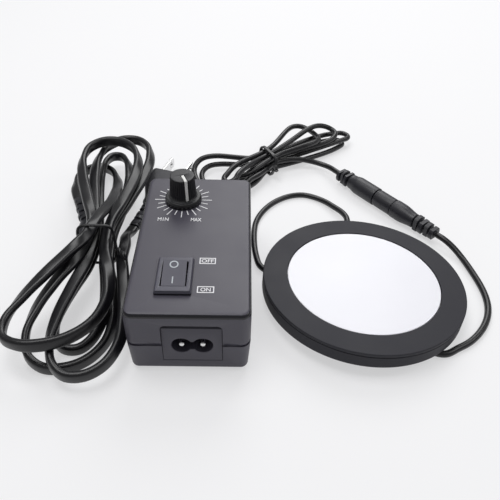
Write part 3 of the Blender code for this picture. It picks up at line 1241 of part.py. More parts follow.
def make_lamp_lead(panel_centre, panel_turn, joint_line):
    tip = PANEL_GROMMET_TAIL + CLEARANCE
    start = panel_centre + panel_turn @ Vector((0, PANEL_RADIUS + tip, PANEL_GROMMET_HEIGHT))
    straight = panel_centre + panel_turn @ Vector((0, PANEL_RADIUS + tip + 2 * LAMP_LEAD_DIAMETER,
                                                   PANEL_GROMMET_HEIGHT))
    lean_way = Vector((math.cos(PANEL_LEAN_DIRECTION), math.sin(PANEL_LEAN_DIRECTION), 0))
    chord_way = Vector((lean_way.y, -lean_way.x, 0))
    middle = Vector((panel_centre.x, panel_centre.y, 0)) - lean_way * PANEL_LEAD_OFFSET
    rest = LAMP_LEAD_DIAMETER / 2 + TABLE_GAP
    under = [middle + chord_way * PANEL_RADIUS * share + Vector((0, 0, rest)) for share in (-0.8, 0, 0.8)]
    end = frame_point(joint_line, PLUG_LENGTH + CLEARANCE)
    before_end = frame_point(joint_line, PLUG_LENGTH + CLEARANCE + 2 * LAMP_LEAD_DIAMETER)
    route = [start, straight] + [from_case(point) for point in LAMP_ROUTE_START] + under
    route += [from_case(point) for point in LAMP_ROUTE_END] + [before_end, end]
    tube("lamp_lead", spaced_route(route, LAMP_LEAD_DIAMETER), LAMP_LEAD_DIAMETER, CORD_JACKET)


def make_output_lead(joint_line):
    diameter = OUTPUT_LEAD_DIAMETER
    pitch = diameter + OUTPUT_LEVEL_GAP
    levels = [OUTPUT_LOW_LEVEL + pitch * index for index in range(3)]
    near = [(-pitch, level) for level in levels]
    middle = [(0, level) for level in levels]
    far = [(pitch, level) for level in levels]
    waist = from_case((*OUTPUT_WAIST, 0))
    right = Vector((math.cos(OUTPUT_WAIST_AZIMUTH), math.sin(OUTPUT_WAIST_AZIMUTH), 0))
    turns = ((1, near[0], far[0], OUTPUT_TURNS[0]), (-1, far[0], middle[0], OUTPUT_TURNS[1]),
             (1, middle[0], far[1], OUTPUT_TURNS[2]), (-1, far[1], middle[1], OUTPUT_TURNS[3]),
             (1, middle[1], middle[2], OUTPUT_TURNS[4]), (-1, middle[2], far[2], OUTPUT_TURNS[5]),
             (1, far[2], near[2], OUTPUT_TURNS[6]), (-1, near[2], near[1], OUTPUT_TURNS[7]))
    hank = hank_route(waist, right, turns)
    tube("output_lead_hank", hank, diameter, CORD_JACKET, 1)
    least_gap("output_lead_hank", hank, diameter)

    exit_y = CASE_LENGTH / 2 + GROMMET_TAIL + CLEARANCE
    start = from_case((OUTPUT_GROMMET_OFFSET_X, exit_y, PARTING_HEIGHT))
    straight = start + Vector((0, 1.5 * diameter, 0))
    join_way = (hank[1] - hank[0]).normalized()
    box_end = [start, straight] + [from_case(point) for point in BOX_END_ROUTE]
    side = Vector((-right.y, right.x, 0))
    entry = waist + side * near[0][0] + Vector((0, 0, near[0][1]))
    box_end += [entry - right * diameter, hank[0] - join_way * 1.2 * diameter, hank[0] - join_way * CLEARANCE]
    box_end_route = spaced_route(box_end, diameter, 2.0)
    tube("output_lead_box_end", box_end_route, diameter, CORD_JACKET)

    leave_way = (hank[-1] - hank[-2]).normalized()
    passing = waist + side * near[1][0] + Vector((0, 0, near[1][1]))
    socket_end = [hank[-1] + leave_way * CLEARANCE, hank[-1] + leave_way * 1.2 * diameter, passing]
    socket_end += [from_case(point) for point in SOCKET_END_ROUTE]
    socket_end += [frame_point(joint_line, -SOCKET_LENGTH - CLEARANCE - 1.6 * diameter)]
    socket_end += [frame_point(joint_line, -SOCKET_LENGTH - CLEARANCE)]
    socket_end_route = spaced_route(socket_end, diameter, 2.0)
    tube("output_lead_socket_end", socket_end_route, diameter, CORD_JACKET)

    strands = (hank, box_end_route, socket_end_route)
    box = waist_box(strands, waist, right, diameter)
    tail = {"side": 1, "direction": Vector((0.25, -1.0, 0.25)), "steps": 9, "pitch_share": 0.62}
    tube("output_lead_tie", tie_route(waist, right, box, diameter, tail), TIE_WIRE, TIE_COATING, 1)


def hank_route(waist, axis, turns):
    route = []
    for way, start_slot, end_slot, shape in turns:
        outward = axis * way
        flip = (start_slot[0] * way, start_slot[1])
        flop = (end_slot[0] * way, end_slot[1])
        turned_shape = dict(shape)
        turned_shape["width"] = shape["width"] * way
        turned_shape["lean"] = shape["lean"] * way
        route += half_turn(waist, outward, flip, flop, turned_shape)
    return route


def make_mains_lead(plug_place, connector_place):
    diameter = MAINS_LEAD_DIAMETER
    pitch = diameter + MAINS_LEVEL_GAP
    column = diameter / 2 + MAINS_COLUMN_GAP / 2
    levels = [MAINS_LOW_LEVEL + pitch * index for index in range(4)]
    left = [(column, level) for level in levels]
    right = [(-column, level) for level in levels]
    first = (-2 * diameter - TIE_WIRE - 6 * CLEARANCE, MAINS_LOW_LEVEL + MAINS_LEVEL_GAP)
    waist = from_case((*MAINS_WAIST, 0))
    away = Vector((0, 1, 0))
    turns = ((-1, first, left[1], MAINS_TURNS[0]), (1, left[1], right[1], MAINS_TURNS[1]),
             (-1, right[1], left[0], MAINS_TURNS[2]), (1, left[0], right[0], MAINS_TURNS[3]),
             (-1, right[0], left[2], MAINS_TURNS[4]), (1, left[2], right[2], MAINS_TURNS[5]),
             (-1, right[2], left[3], MAINS_TURNS[6]))
    hank = hank_route(waist, away, turns)
    tube("mains_lead_hank", hank, diameter, CORD_JACKET, 1)
    least_gap("mains_lead_hank", hank, diameter)

    join_way = (hank[1] - hank[0]).normalized()
    plug_end = [frame_point(plug_place, -CLEARANCE), frame_point(plug_place, -CLEARANCE - diameter)]
    plug_end += [from_case(point) for point in PLUG_END_ROUTE]
    plug_end += [hank[0] - join_way * 1.6 * diameter, hank[0] - join_way * CLEARANCE]
    tube("mains_lead_plug_end", spaced_route(plug_end, diameter, 2.0), diameter, CORD_JACKET)

    leave_way = (hank[-1] - hank[-2]).normalized()
    connector_end = [hank[-1] + leave_way * CLEARANCE, hank[-1] + leave_way * 1.2 * diameter]
    connector_end += [from_case(point) for point in CONNECTOR_END_ROUTE]
    connector_end += [frame_point(connector_place, -CLEARANCE - 1.2 * diameter)]
    connector_end += [frame_point(connector_place, -CLEARANCE)]
    connector_end_route = spaced_route(connector_end, diameter)
    tube("mains_lead_connector_end", connector_end_route, diameter, CORD_JACKET)

    strands = (hank, connector_end_route)
    box = waist_box(strands, waist, away, diameter)
    tail = {"side": 1, "direction": Vector((0.65, -0.75, -0.12)), "steps": 23, "pitch_share": 0.62}
    tube("mains_lead_tie", tie_route(waist, away, box, diameter, tail), TIE_WIRE, TIE_COATING, 1)


make_case()
make_electronics()
make_inlet()
make_switch()
make_control()
panel_centre, panel_turn = make_panel()
joint_line = make_joint()
plug_place = make_mains_plug()
connector_place = make_mains_connector()
make_output_grommet()
make_lamp_lead(panel_centre, panel_turn, joint_line)
make_output_lead(joint_line)
make_mains_lead(plug_place, connector_place)
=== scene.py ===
# Round LED light panel for a stereo microscope, with its dimmer power box and leads.
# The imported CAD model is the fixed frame; every visible piece is dressed or rebuilt around it.
import math

import bmesh
import bpy
import numpy as np
from mathutils import Matrix, Vector


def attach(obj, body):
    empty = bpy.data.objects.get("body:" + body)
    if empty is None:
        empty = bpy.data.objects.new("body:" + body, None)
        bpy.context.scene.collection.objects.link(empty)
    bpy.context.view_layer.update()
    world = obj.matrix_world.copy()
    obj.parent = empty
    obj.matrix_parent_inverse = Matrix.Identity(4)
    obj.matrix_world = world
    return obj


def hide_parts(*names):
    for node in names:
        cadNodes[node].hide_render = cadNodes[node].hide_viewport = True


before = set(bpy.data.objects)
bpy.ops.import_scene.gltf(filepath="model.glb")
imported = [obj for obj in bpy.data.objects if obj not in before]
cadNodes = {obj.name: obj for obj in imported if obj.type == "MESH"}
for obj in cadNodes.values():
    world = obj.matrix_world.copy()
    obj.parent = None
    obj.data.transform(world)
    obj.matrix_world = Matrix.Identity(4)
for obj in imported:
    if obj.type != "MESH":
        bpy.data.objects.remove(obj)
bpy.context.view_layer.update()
mm = 0.001
fullTurn = 2 * math.pi


# Node and mesh helpers

def linearColour(hexColour):  # sRGB hex to the linear values that shaders take
    channels = [int(hexColour[start:start + 2], 16) / 255 for start in (1, 3, 5)]
    return tuple(c / 12.92 if c <= 0.04045 else ((c + 0.055) / 1.055) ** 2.4 for c in channels) + (1.0,)


def addNode(tree, kind, settings=None, inputs=None):
    node = tree.nodes.new(kind)
    for name, value in (settings or {}).items():
        setattr(node, name, value)
    for key, value in (inputs or {}).items():
        if isinstance(value, bpy.types.NodeSocket):
            tree.links.new(value, node.inputs[key])
        else:
            node.inputs[key].default_value = value
    return node


def newTree(name, labels):
    # a geometry tree with named inputs; returns it, its input node and the identifiers of the inputs
    tree = bpy.data.node_groups.new(name, "GeometryNodeTree")
    tree.interface.new_socket("Geometry", in_out="INPUT", socket_type="NodeSocketGeometry")
    identifiers = {}
    for label, socketType in labels.items():
        socket = tree.interface.new_socket(label, in_out="INPUT", socket_type="NodeSocket" + socketType)
        identifiers[label] = socket.identifier
    tree.interface.new_socket("Geometry", in_out="OUTPUT", socket_type="NodeSocketGeometry")
    return tree, tree.nodes.new("NodeGroupInput"), identifiers


def compute(tree, operation, *values):  # a maths node; returns what it gives
    return addNode(tree, "ShaderNodeMath", {"operation": operation}, dict(enumerate(values))).outputs[0]


def vectorNode(tree, operation, inputs):
    return addNode(tree, "ShaderNodeVectorMath", {"operation": operation}, inputs)


def combineXyz(tree, x=0.0, y=0.0, z=0.0):
    return addNode(tree, "ShaderNodeCombineXYZ", None, {0: x, 1: y, 2: z}).outputs[0]


def countedPoints(tree, count):  # that many loose points, and the number of each
    points = addNode(tree, "GeometryNodePoints", None, {"Count": count}).outputs[0]
    return points, addNode(tree, "GeometryNodeInputIndex").outputs[0]


def movePoints(tree, points, place):
    return addNode(tree, "GeometryNodeSetPosition", None, {0: points, "Position": place}).outputs[0]


def ringOf(tree, points, index, count, offset):
    # the points evenly spaced round Z, each at the offset turned by its own angle; returns the angle too
    angle = compute(tree, "MULTIPLY", index, compute(tree, "DIVIDE", fullTurn, count))
    swung = addNode(tree, "ShaderNodeVectorRotate", {"rotation_type": "Z_AXIS"},
                    {"Vector": offset, "Angle": angle})
    return movePoints(tree, points, swung.outputs[0]), angle


def instanceOn(tree, points, part, **inputs):
    found = addNode(tree, "GeometryNodeInstanceOnPoints", None, {0: points, "Instance": part, **inputs})
    return found.outputs[0]


def endTree(tree, geometry, material):
    realized = addNode(tree, "GeometryNodeRealizeInstances", None, {"Geometry": geometry})
    painted = addNode(tree, "GeometryNodeSetMaterial", None, {0: realized.outputs[0], "Material": material})
    addNode(tree, "NodeGroupOutput", None, {0: painted.outputs[0]})


def settle(piece):  # modifiers become plain mesh and the object's place goes into its mesh
    bpy.context.view_layer.update()
    depsgraph = bpy.context.evaluated_depsgraph_get()
    mesh = bpy.data.meshes.new_from_object(piece.evaluated_get(depsgraph), depsgraph=depsgraph)
    mesh.transform(piece.matrix_world)
    piece.modifiers.clear()
    piece.data = mesh
    piece.parent = None
    piece.matrix_world = Matrix.Identity(4)
    return piece


def placed(x, y, z, degrees=0.0, axis="Z"):  # a place in millimetres, turned about one axis
    return Matrix.Translation((x * mm, y * mm, z * mm)) @ Matrix.Rotation(math.radians(degrees), 4, axis)


def runTree(piece, tree, identifiers, values):
    modifier = piece.modifiers.new(tree.name, "NODES")
    modifier.node_group = tree
    for label, value in values.items():
        modifier[identifiers[label]] = value
    return settle(piece)


def newObject(name, mesh):
    piece = bpy.data.objects.new(name, mesh)
    bpy.context.collection.objects.link(piece)
    return piece


def meshPiece(name, builder, material, smoothAngle=35):
    bmesh.ops.recalc_face_normals(builder, faces=builder.faces)
    mesh = bpy.data.meshes.new(name)
    builder.to_mesh(mesh)
    builder.free()
    mesh.shade_smooth()
    mesh.set_sharp_from_angle(angle=math.radians(smoothAngle))
    mesh.materials.append(material)
    return newObject(name, mesh)


def loftRings(name, rings, material, closed=False, smoothAngle=35):
    # quads between rings of as many points each; the ends are capped unless the rings close up
    builder = bmesh.new()
    loops = [[builder.verts.new(point) for point in ring] for ring in rings]
    pairs = list(zip(loops, loops[1:])) + ([(loops[-1], loops[0])] if closed else [])
    for lower, upper in pairs:
        for index in range(len(lower)):
            following = (index + 1) % len(lower)
            builder.faces.new((lower[index], lower[following], upper[following], upper[index]))
    if not closed:
        builder.faces.new(list(reversed(loops[0])))
        builder.faces.new(loops[-1])
    return meshPiece(name, builder, material, smoothAngle)


def lathe(name, profile, material, steps=96, closed=False, smoothAngle=35):
    # a profile of (radius, height) in millimetres turned about Z
    angles = [fullTurn * step / steps for step in range(steps)]
    rings = [[(r * mm * math.cos(a), r * mm * math.sin(a), h * mm) for a in angles] for r, h in profile]
    return loftRings(name, rings, material, closed, smoothAngle)


def roundedProfile(corners, steps=4):
    # (radius, height, rounding) corners in millimetres; each rounded corner becomes a short arc
    points = []
    for index, (r, h, rounding) in enumerate(corners):
        if rounding <= 0:
            points.append((r, h))
            continue
        here = Vector((r, h))
        before = (Vector(corners[index - 1][:2]) - here).normalized() * rounding
        after = (Vector(corners[(index + 1) % len(corners)][:2]) - here).normalized() * rounding
        for step in range(steps + 1):
            u = step / steps
            point = here + before * (1 - u) ** 2 + after * u ** 2
            points.append((point.x, point.y))
    return points


def roundedOutline(halfX, halfY, radius, steps=8):  # anticlockwise, in the units it is given
    points = []
    for signX, signY, quarter in ((1, 1, 0), (-1, 1, 1), (-1, -1, 2), (1, -1, 3)):
        for step in range(steps + 1):
            angle = math.pi / 2 * (quarter + step / steps)
            points.append((signX * (halfX - radius) + radius * math.cos(angle),
                           signY * (halfY - radius) + radius * math.sin(angle)))
    return points


def shifted(outline, x0, y0):
    return [(x0 + x, y0 + y) for x, y in outline]


def combine(piece, tools, operation):
    for tool in tools:
        modifier = piece.modifiers.new(tool.name, "BOOLEAN")
        modifier.operation = operation
        modifier.object = tool
        modifier.solver = "EXACT"
        settle(piece)
        bpy.data.objects.remove(tool)
    return piece


def refine(piece, bevel=0.0, smoothAngle=35):  # small rounded edges and shading that keeps flats flat
    if bevel:
        rounding = piece.modifiers.new("rounding", "BEVEL")
        rounding.width = bevel * mm
        rounding.segments = 3
        rounding.limit_method = "ANGLE"
        rounding.angle_limit = math.radians(smoothAngle)
        settle(piece)
        piece.data.shade_smooth()
        piece.data.set_sharp_from_angle(angle=math.radians(smoothAngle))
    weighted = piece.modifiers.new("weighted", "WEIGHTED_NORMAL")
    weighted.keep_sharp = True
    return settle(piece)


def dress(piece, body, slot, *replaced):
    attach(piece, body)
    if replaced:
        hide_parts(*replaced)
    return piece


# Finishes

def newMaterial(name, hexColour, roughness, metallic=0.0, **sockets):
    material = bpy.data.materials.new(name)
    material.use_nodes = True
    shader = material.node_tree.nodes["Principled BSDF"]
    shader.inputs["Base Color"].default_value = linearColour(hexColour)
    shader.inputs["Roughness"].default_value = roughness
    shader.inputs["Metallic"].default_value = metallic
    for key, value in sockets.items():
        shader.inputs[key.replace("_", " ")].default_value = value
    return material


def addGrain(material, size, depth, spread, drift=None, driftSize=14.0, stretch=(1, 1, 1)):
    # size, depth and driftSize in millimetres; spread is how far roughness wanders either way
    tree = material.node_tree
    shader = tree.nodes["Principled BSDF"]
    place = addNode(tree, "ShaderNodeTexCoord")
    stretched = addNode(tree, "ShaderNodeMapping", None,
                        {"Vector": place.outputs["Object"], "Scale": stretch})
    grain = addNode(tree, "ShaderNodeTexNoise", None,
                    {"Vector": stretched.outputs[0], "Scale": 1 / (size * mm), "Detail": 2.0})
    bump = addNode(tree, "ShaderNodeBump", None, {"Height": grain.outputs["Fac"], "Distance": depth * mm})
    tree.links.new(bump.outputs[0], shader.inputs["Normal"])
    cloud = addNode(tree, "ShaderNodeTexNoise", None,
                    {"Vector": place.outputs["Object"], "Scale": 1 / (driftSize * mm), "Detail": 3.0})
    middle = shader.inputs["Roughness"].default_value
    rough = addNode(tree, "ShaderNodeMapRange", None, {"Value": cloud.outputs["Fac"], "From Min": 0.3,
                    "From Max": 0.7, "To Min": middle - spread, "To Max": middle + spread})
    tree.links.new(rough.outputs[0], shader.inputs["Roughness"])
    if drift:
        base = tuple(shader.inputs["Base Color"].default_value)
        blend = addNode(tree, "ShaderNodeMix", {"data_type": "RGBA"},
                        {"Factor": cloud.outputs["Fac"], 6: base, 7: linearColour(drift)})
        tree.links.new(blend.outputs[2], shader.inputs["Base Color"])
    return material


# Injection moulded ABS, spark eroded: dark grey with a soft sheen and an even fine grain
mouldedAbs = addGrain(newMaterial("mouldedAbs", "#42404B", 0.42), 0.5, 0.012, 0.03, "#474550")
# The same ABS, smoother, with painted shade: a much darker colour on the radius under the roof stands in for
# the dark reflection there
polishedAbs = addGrain(newMaterial("polishedAbs", "#1A191F", 0.24), 0.6, 0.003, 0.03, "#1D1C22")
# Nylon of the switch: as grey as the case, and smoother
smoothNylon = addGrain(newMaterial("smoothNylon", "#474653", 0.36), 0.6, 0.006, 0.03, "#4B4A57")
# Knob of satin black ABS
knobAbs = addGrain(newMaterial("knobAbs", "#1D1D21", 0.42), 0.5, 0.01, 0.04, "#212125")
# The same plastics, smoother, with painted shade: darker copies for the upright faces of the switch and the
# knob's grip
polishedNylon = addGrain(newMaterial("polishedNylon", "#131315", 0.28), 0.6, 0.003, 0.03, "#161618")
polishedKnob = addGrain(newMaterial("polishedKnob", "#0D0D0F", 0.3), 0.5, 0.004, 0.04, "#18181B")
# Stove enamel on turned aluminium: even black with a soft tooth
stoveEnamel = addGrain(newMaterial("stoveEnamel", "#313136", 0.55, Specular_IOR_Level=0.22), 0.6, 0.012, 0.04,
                       "#35353B")
# Opal acrylic: white through and through, satin face
opalAcrylic = addGrain(newMaterial("opalAcrylic", "#F0F0F6", 0.3), 1.2, 0.004, 0.03, "#EDEDF4", 30.0)
clearAcrylic = addGrain(newMaterial("clearAcrylic", "#E6F0F0", 0.06, Transmission_Weight=0.9, IOR=1.49),
                        2.0, 0.002, 0.02)
whitePrint = addGrain(newMaterial("whitePrint", "#F0F0F2", 0.5), 0.4, 0.004, 0.04, "#E6E6EA", 3.0)
# Phosphor of an LED that is switched off
ledPhosphor = addGrain(newMaterial("ledPhosphor", "#E9D36A", 0.4), 0.3, 0.01, 0.05, "#DCC258", 1.0)
# Pad print of the rocker, thinner and greyer than the white of the cover
greyPrint = addGrain(newMaterial("greyPrint", "#C4CAD0", 0.5), 0.4, 0.004, 0.04, "#B9BFC5", 3.0)
whiteAbs = addGrain(newMaterial("whiteAbs", "#E8E8E6", 0.45), 0.5, 0.006, 0.04, "#E0E0DE")
# Soft PVC of leads: black, smooth, with a waxy sheen and slow dull patches along it
cordPvc = addGrain(newMaterial("cordPvc", "#121215", 0.33), 1.6, 0.005, 0.04, "#16161A", 9.0)
# Moulded PVC of plugs, rubbery and less glossy
plugPvc = addGrain(newMaterial("plugPvc", "#232329", 0.42), 0.7, 0.014, 0.05, "#2A2A31", 7.0)
footRubber = addGrain(newMaterial("footRubber", "#1C1C1E", 0.7), 0.5, 0.02, 0.05, "#222224")
tieVinyl = addGrain(newMaterial("tieVinyl", "#161618", 0.34), 0.8, 0.02, 0.05, "#1D1D20", 4.0)
# Nickel plate on brass: pale, slightly warm, drawn marks
nickelPlate = addGrain(newMaterial("nickelPlate", "#E6E6E6", 0.24, 1.0), 0.35, 0.004, 0.05, "#DADADA", 5.0)
zincSteel = addGrain(newMaterial("zincSteel", "#B9BCC2", 0.32, 1.0), 0.4, 0.006, 0.06, "#AEB2B6", 3.0)
millAluminium = addGrain(newMaterial("millAluminium", "#C9CBCE", 0.38, 1.0), 0.3, 0.006, 0.05, "#BFC2C6", 8.0,
                         (1, 0.05, 1))
solderMask = addGrain(newMaterial("solderMask", "#1E5A34", 0.35), 1.2, 0.02, 0.05, "#2A6E42", 2.5)
greyFerrite = addGrain(newMaterial("greyFerrite", "#3B3A38", 0.7), 0.3, 0.02, 0.05, "#45433F", 2.0)
canSleeve = addGrain(newMaterial("canSleeve", "#1B2433", 0.3), 0.8, 0.004, 0.05, "#202B3D", 5.0)
print("finishes ready")


# Camera, floor and light

cameraSettings = {"place": (-30.2, -194.85, 199.26), "right": (0.99972904, -0.00361902, 0.02299444),
                  "up": (-0.01489779, 0.6595476, 0.75151515), "lens": 41.572}
cameraData = bpy.data.cameras.new("camera")
cameraData.lens = cameraSettings["lens"]
cameraData.sensor_width = 36.0
cameraData.clip_start = 0.01
camera = bpy.data.objects.new("camera", cameraData)
bpy.context.collection.objects.link(camera)
right, up = Vector(cameraSettings["right"]), Vector(cameraSettings["up"])
turn = Matrix((right, up, right.cross(up))).transposed()
camera.matrix_world = Matrix.Translation(Vector(cameraSettings["place"]) * mm) @ turn.to_4x4()
bpy.context.scene.camera = camera
bpy.context.scene.view_settings.view_transform = "Standard"

stageSettings = {"floor": "#F4F4F6", "seen": (0.97, 0.97, 0.98, 1.0), "keep": 0.55, "world": 0.30,
                 "floorSize": 3.0, "floorDown": 0.02, "aim": (0.0, 0.02, 0.0),
                 "lamps": ((-0.22, 0.10, 0.85, 0.50, 2.9), (0.12, 0.80, 0.70, 0.70, 4.3),
                           (0.60, 0.05, 0.60, 0.40, 1.0))}
floorMaterial = bpy.data.materials.new("paperSweep")
floorMaterial.use_nodes = True
floorTree = floorMaterial.node_tree
floorTree.nodes.clear()
lightPath = addNode(floorTree, "ShaderNodeLightPath")
seenBy = addNode(floorTree, "ShaderNodeMath", {"operation": "ADD", "use_clamp": True},
                 {0: lightPath.outputs["Is Camera Ray"], 1: lightPath.outputs["Is Glossy Ray"]})
seenAll = addNode(floorTree, "ShaderNodeMath", {"operation": "ADD", "use_clamp": True},
                  {0: seenBy.outputs[0], 1: lightPath.outputs["Is Transmission Ray"]})
share = addNode(floorTree, "ShaderNodeMath", {"operation": "MULTIPLY"},
                {0: seenAll.outputs[0], 1: stageSettings["keep"]})
paper = addNode(floorTree, "ShaderNodeBsdfDiffuse", None, {"Color": linearColour(stageSettings["floor"])})
glow = addNode(floorTree, "ShaderNodeEmission", None, {"Color": stageSettings["seen"], "Strength": 1.0})
mixed = addNode(floorTree, "ShaderNodeMixShader", None,
                {0: share.outputs[0], 1: paper.outputs[0], 2: glow.outputs[0]})
addNode(floorTree, "ShaderNodeOutputMaterial", None, {"Surface": mixed.outputs[0]})
floorBuilder = bmesh.new()
bmesh.ops.create_grid(floorBuilder, x_segments=1, y_segments=1, size=stageSettings["floorSize"])
floor = meshPiece("floor", floorBuilder, floorMaterial)
floor.location.z = -stageSettings["floorDown"] * mm
settle(floor)

world = bpy.data.worlds.new("studio")
bpy.context.scene.world = world
world.use_nodes = True
world.node_tree.nodes["Background"].inputs["Color"].default_value = (1.0, 1.0, 1.0, 1.0)
world.node_tree.nodes["Background"].inputs["Strength"].default_value = stageSettings["world"]
for index, (x, y, z, size, power) in enumerate(stageSettings["lamps"]):
    lampData = bpy.data.lights.new(f"softbox{index + 1}", "AREA")
    lampData.shape = "DISK"
    lampData.size = size
    lampData.energy = power
    lampLight = bpy.data.objects.new(lampData.name, lampData)
    lampLight.location = (x, y, z)
    aim = Vector(stageSettings["aim"]) - Vector((x, y, z))
    lampLight.rotation_euler = aim.to_track_quat("-Z", "Y").to_euler()
    bpy.context.collection.objects.link(lampLight)
print("camera and light ready")


# Leads: each runs as one unbroken tube along the same route as its CAD solids, points in metres

lampRoute = [(0.02822, 0.05188, 0.00407), (0.02854, 0.05506, 0.00393), (0.02664, 0.06165, 0.00337),
    (0.02279, 0.06746, 0.00267), (0.01869, 0.0731, 0.00198), (0.01325, 0.07742, 0.00162),
    (0.00668, 0.07976, 0.00168), (-0.00019, 0.07891, 0.0017), (-0.00642, 0.07574, 0.0017),
    (-0.01176, 0.07122, 0.0017), (-0.01607, 0.06571, 0.0017), (-0.01941, 0.05957, 0.0017),
    (-0.02161, 0.05292, 0.0017), (-0.0225, 0.04598, 0.0017), (-0.02268, 0.03898, 0.0017),
    (-0.02242, 0.03198, 0.0017), (-0.02157, 0.02503, 0.0017), (-0.01984, 0.01827, 0.0017),
    (-0.0149, 0.01355, 0.0017), (-0.00907, 0.00967, 0.0017), (-0.00335, 0.00563, 0.0017),
    (0.00238, 0.00159, 0.0017), (0.0081, -0.00245, 0.0017), (0.01383, -0.00648, 0.0017),
    (0.01955, -0.01052, 0.0017), (0.02528, -0.01456, 0.0017), (0.031, -0.0186, 0.0017),
    (0.03673, -0.02264, 0.0017), (0.04245, -0.02668, 0.0017), (0.04818, -0.03072, 0.0017),
    (0.05383, -0.03485, 0.0017), (0.05979, -0.03648, 0.0017), (0.06601, -0.03327, 0.0017),
    (0.07212, -0.02985, 0.0017), (0.07744, -0.02531, 0.0017), (0.08193, -0.01994, 0.0017),
    (0.08543, -0.01389, 0.0017), (0.08766, -0.00726, 0.0017), (0.08851, -0.00032, 0.00169),
    (0.08826, 0.00668, 0.00171), (0.08728, 0.01362, 0.00177), (0.08588, 0.02048, 0.00201),
    (0.084, 0.0272, 0.00248), (0.08067, 0.03304, 0.00415), (0.07629, 0.03825, 0.00547),
    (0.0743, 0.04075, 0.0053)]
outputRoute = [(-0.03838, 0.05985, 0.0163), (-0.03848, 0.06304, 0.01644), (-0.03688, 0.06867, 0.01427),
    (-0.03386, 0.0727, 0.01029), (-0.03022, 0.07695, 0.00715), (-0.02644, 0.08165, 0.005),
    (-0.02277, 0.08681, 0.00393), (-0.01969, 0.09241, 0.00335), (-0.0171, 0.09829, 0.00317),
    (-0.01417, 0.10384, 0.0032), (-0.00852, 0.10688, 0.0032), (-0.00569, 0.10837, 0.00314),
    (-0.00543, 0.10851, 0.00314), (0.00805, 0.11565, 0.00289), (0.01983, 0.12263, 0.00258),
    (0.02894, 0.12922, 0.00228), (0.03475, 0.13504, 0.00205), (0.03693, 0.13953, 0.00192),
    (0.0355, 0.14211, 0.00192), (0.03072, 0.1423, 0.00205), (0.02308, 0.13979, 0.0023),
    (0.01323, 0.13453, 0.00261), (0.00186, 0.12682, 0.00292), (-0.01022, 0.11715, 0.00315),
    (-0.02113, 0.10924, 0.00333), (-0.03214, 0.10725, 0.00411), (-0.04262, 0.10657, 0.00477),
    (-0.05035, 0.10454, 0.00443), (-0.0538, 0.09945, 0.00319), (-0.05275, 0.09171, 0.00207),
    (-0.04859, 0.08419, 0.00188), (-0.04306, 0.08008, 0.00177), (-0.03736, 0.0811, 0.00171),
    (-0.03191, 0.08726, 0.00189), (-0.02605, 0.09628, 0.0023), (-0.01868, 0.10482, 0.00283),
    (-0.00713, 0.11279, 0.00343), (0.00743, 0.12034, 0.0045), (0.02063, 0.12682, 0.00565),
    (0.03114, 0.13262, 0.00617), (0.03802, 0.1377, 0.00596), (0.04087, 0.14162, 0.00557),
    (0.0395, 0.1441, 0.00557), (0.03434, 0.14434, 0.00607), (0.02628, 0.14139, 0.00672),
    (0.01593, 0.13532, 0.00713), (0.00386, 0.12677, 0.00719), (-0.00937, 0.11683, 0.00711),
    (-0.0219, 0.10955, 0.00731), (-0.03464, 0.1086, 0.00853), (-0.04639, 0.10835, 0.00944),
    (-0.05476, 0.10594, 0.00866), (-0.05831, 0.09996, 0.00643), (-0.05699, 0.09117, 0.00449),
    (-0.05225, 0.08262, 0.00427), (-0.04591, 0.07759, 0.00476), (-0.03927, 0.078, 0.00538),
    (-0.03298, 0.08416, 0.0058), (-0.02659, 0.09408, 0.00602), (-0.01894, 0.10421, 0.00646),
    (-0.00851, 0.11218, 0.0073), (0.00358, 0.1182, 0.00792), (0.01494, 0.12265, 0.00867),
    (0.02394, 0.12679, 0.00955), (0.02937, 0.13139, 0.01039), (0.03086, 0.13616, 0.01093),
    (0.02885, 0.13979, 0.01129), (0.02424, 0.14065, 0.01315), (0.01792, 0.13765, 0.01501),
    (0.01032, 0.13098, 0.01501), (0.00146, 0.12203, 0.01315), (-0.00877, 0.11266, 0.01129),
    (-0.01751, 0.10392, 0.01137), (-0.0232, 0.09469, 0.01344), (-0.02804, 0.08592, 0.01555),
    (-0.03213, 0.07902, 0.01581), (-0.03544, 0.0749, 0.01418), (-0.03773, 0.07381, 0.01247),
    (-0.0389, 0.07592, 0.01233), (-0.03857, 0.08055, 0.01319), (-0.03626, 0.08648, 0.01395),
    (-0.03205, 0.09315, 0.0137), (-0.02631, 0.10029, 0.01246), (-0.01963, 0.10774, 0.01124),
    (-0.01236, 0.11549, 0.0111), (-0.00632, 0.1254, 0.01179), (-0.00126, 0.13493, 0.01248),
    (0.00368, 0.14124, 0.01244), (0.00891, 0.14258, 0.01167), (0.01398, 0.139, 0.01092),
    (0.01772, 0.13227, 0.01104), (0.01873, 0.12487, 0.01261), (0.0161, 0.11884, 0.01419),
    (0.00992, 0.11475, 0.01421), (0.00131, 0.11164, 0.01269), (-0.00797, 0.10757, 0.01119),
    (-0.01469, 0.10067, 0.01087), (-0.02021, 0.09465, 0.01033), (-0.02536, 0.08963, 0.00973),
    (-0.0296, 0.08558, 0.00933), (-0.03257, 0.08269, 0.00919), (-0.03409, 0.08115, 0.00919),
    (-0.03362, 0.08029, 0.0092), (-0.03125, 0.08031, 0.0092), (-0.02775, 0.08226, 0.00902),
    (-0.02344, 0.08617, 0.00852), (-0.0187, 0.09194, 0.0078), (-0.01405, 0.0995, 0.00721),
    (-0.01389, 0.09976, 0.00719), (-0.01217, 0.10245, 0.00697), (-0.00909, 0.10618, 0.00714),
    (-0.00334, 0.10851, 0.00706), (0.00249, 0.1106, 0.00672), (0.00853, 0.11159, 0.00579),
    (0.0146, 0.11118, 0.00466), (0.02044, 0.10926, 0.00397), (0.02481, 0.10515, 0.0044),
    (0.02744, 0.09969, 0.0054), (0.02951, 0.09725, 0.0053)]
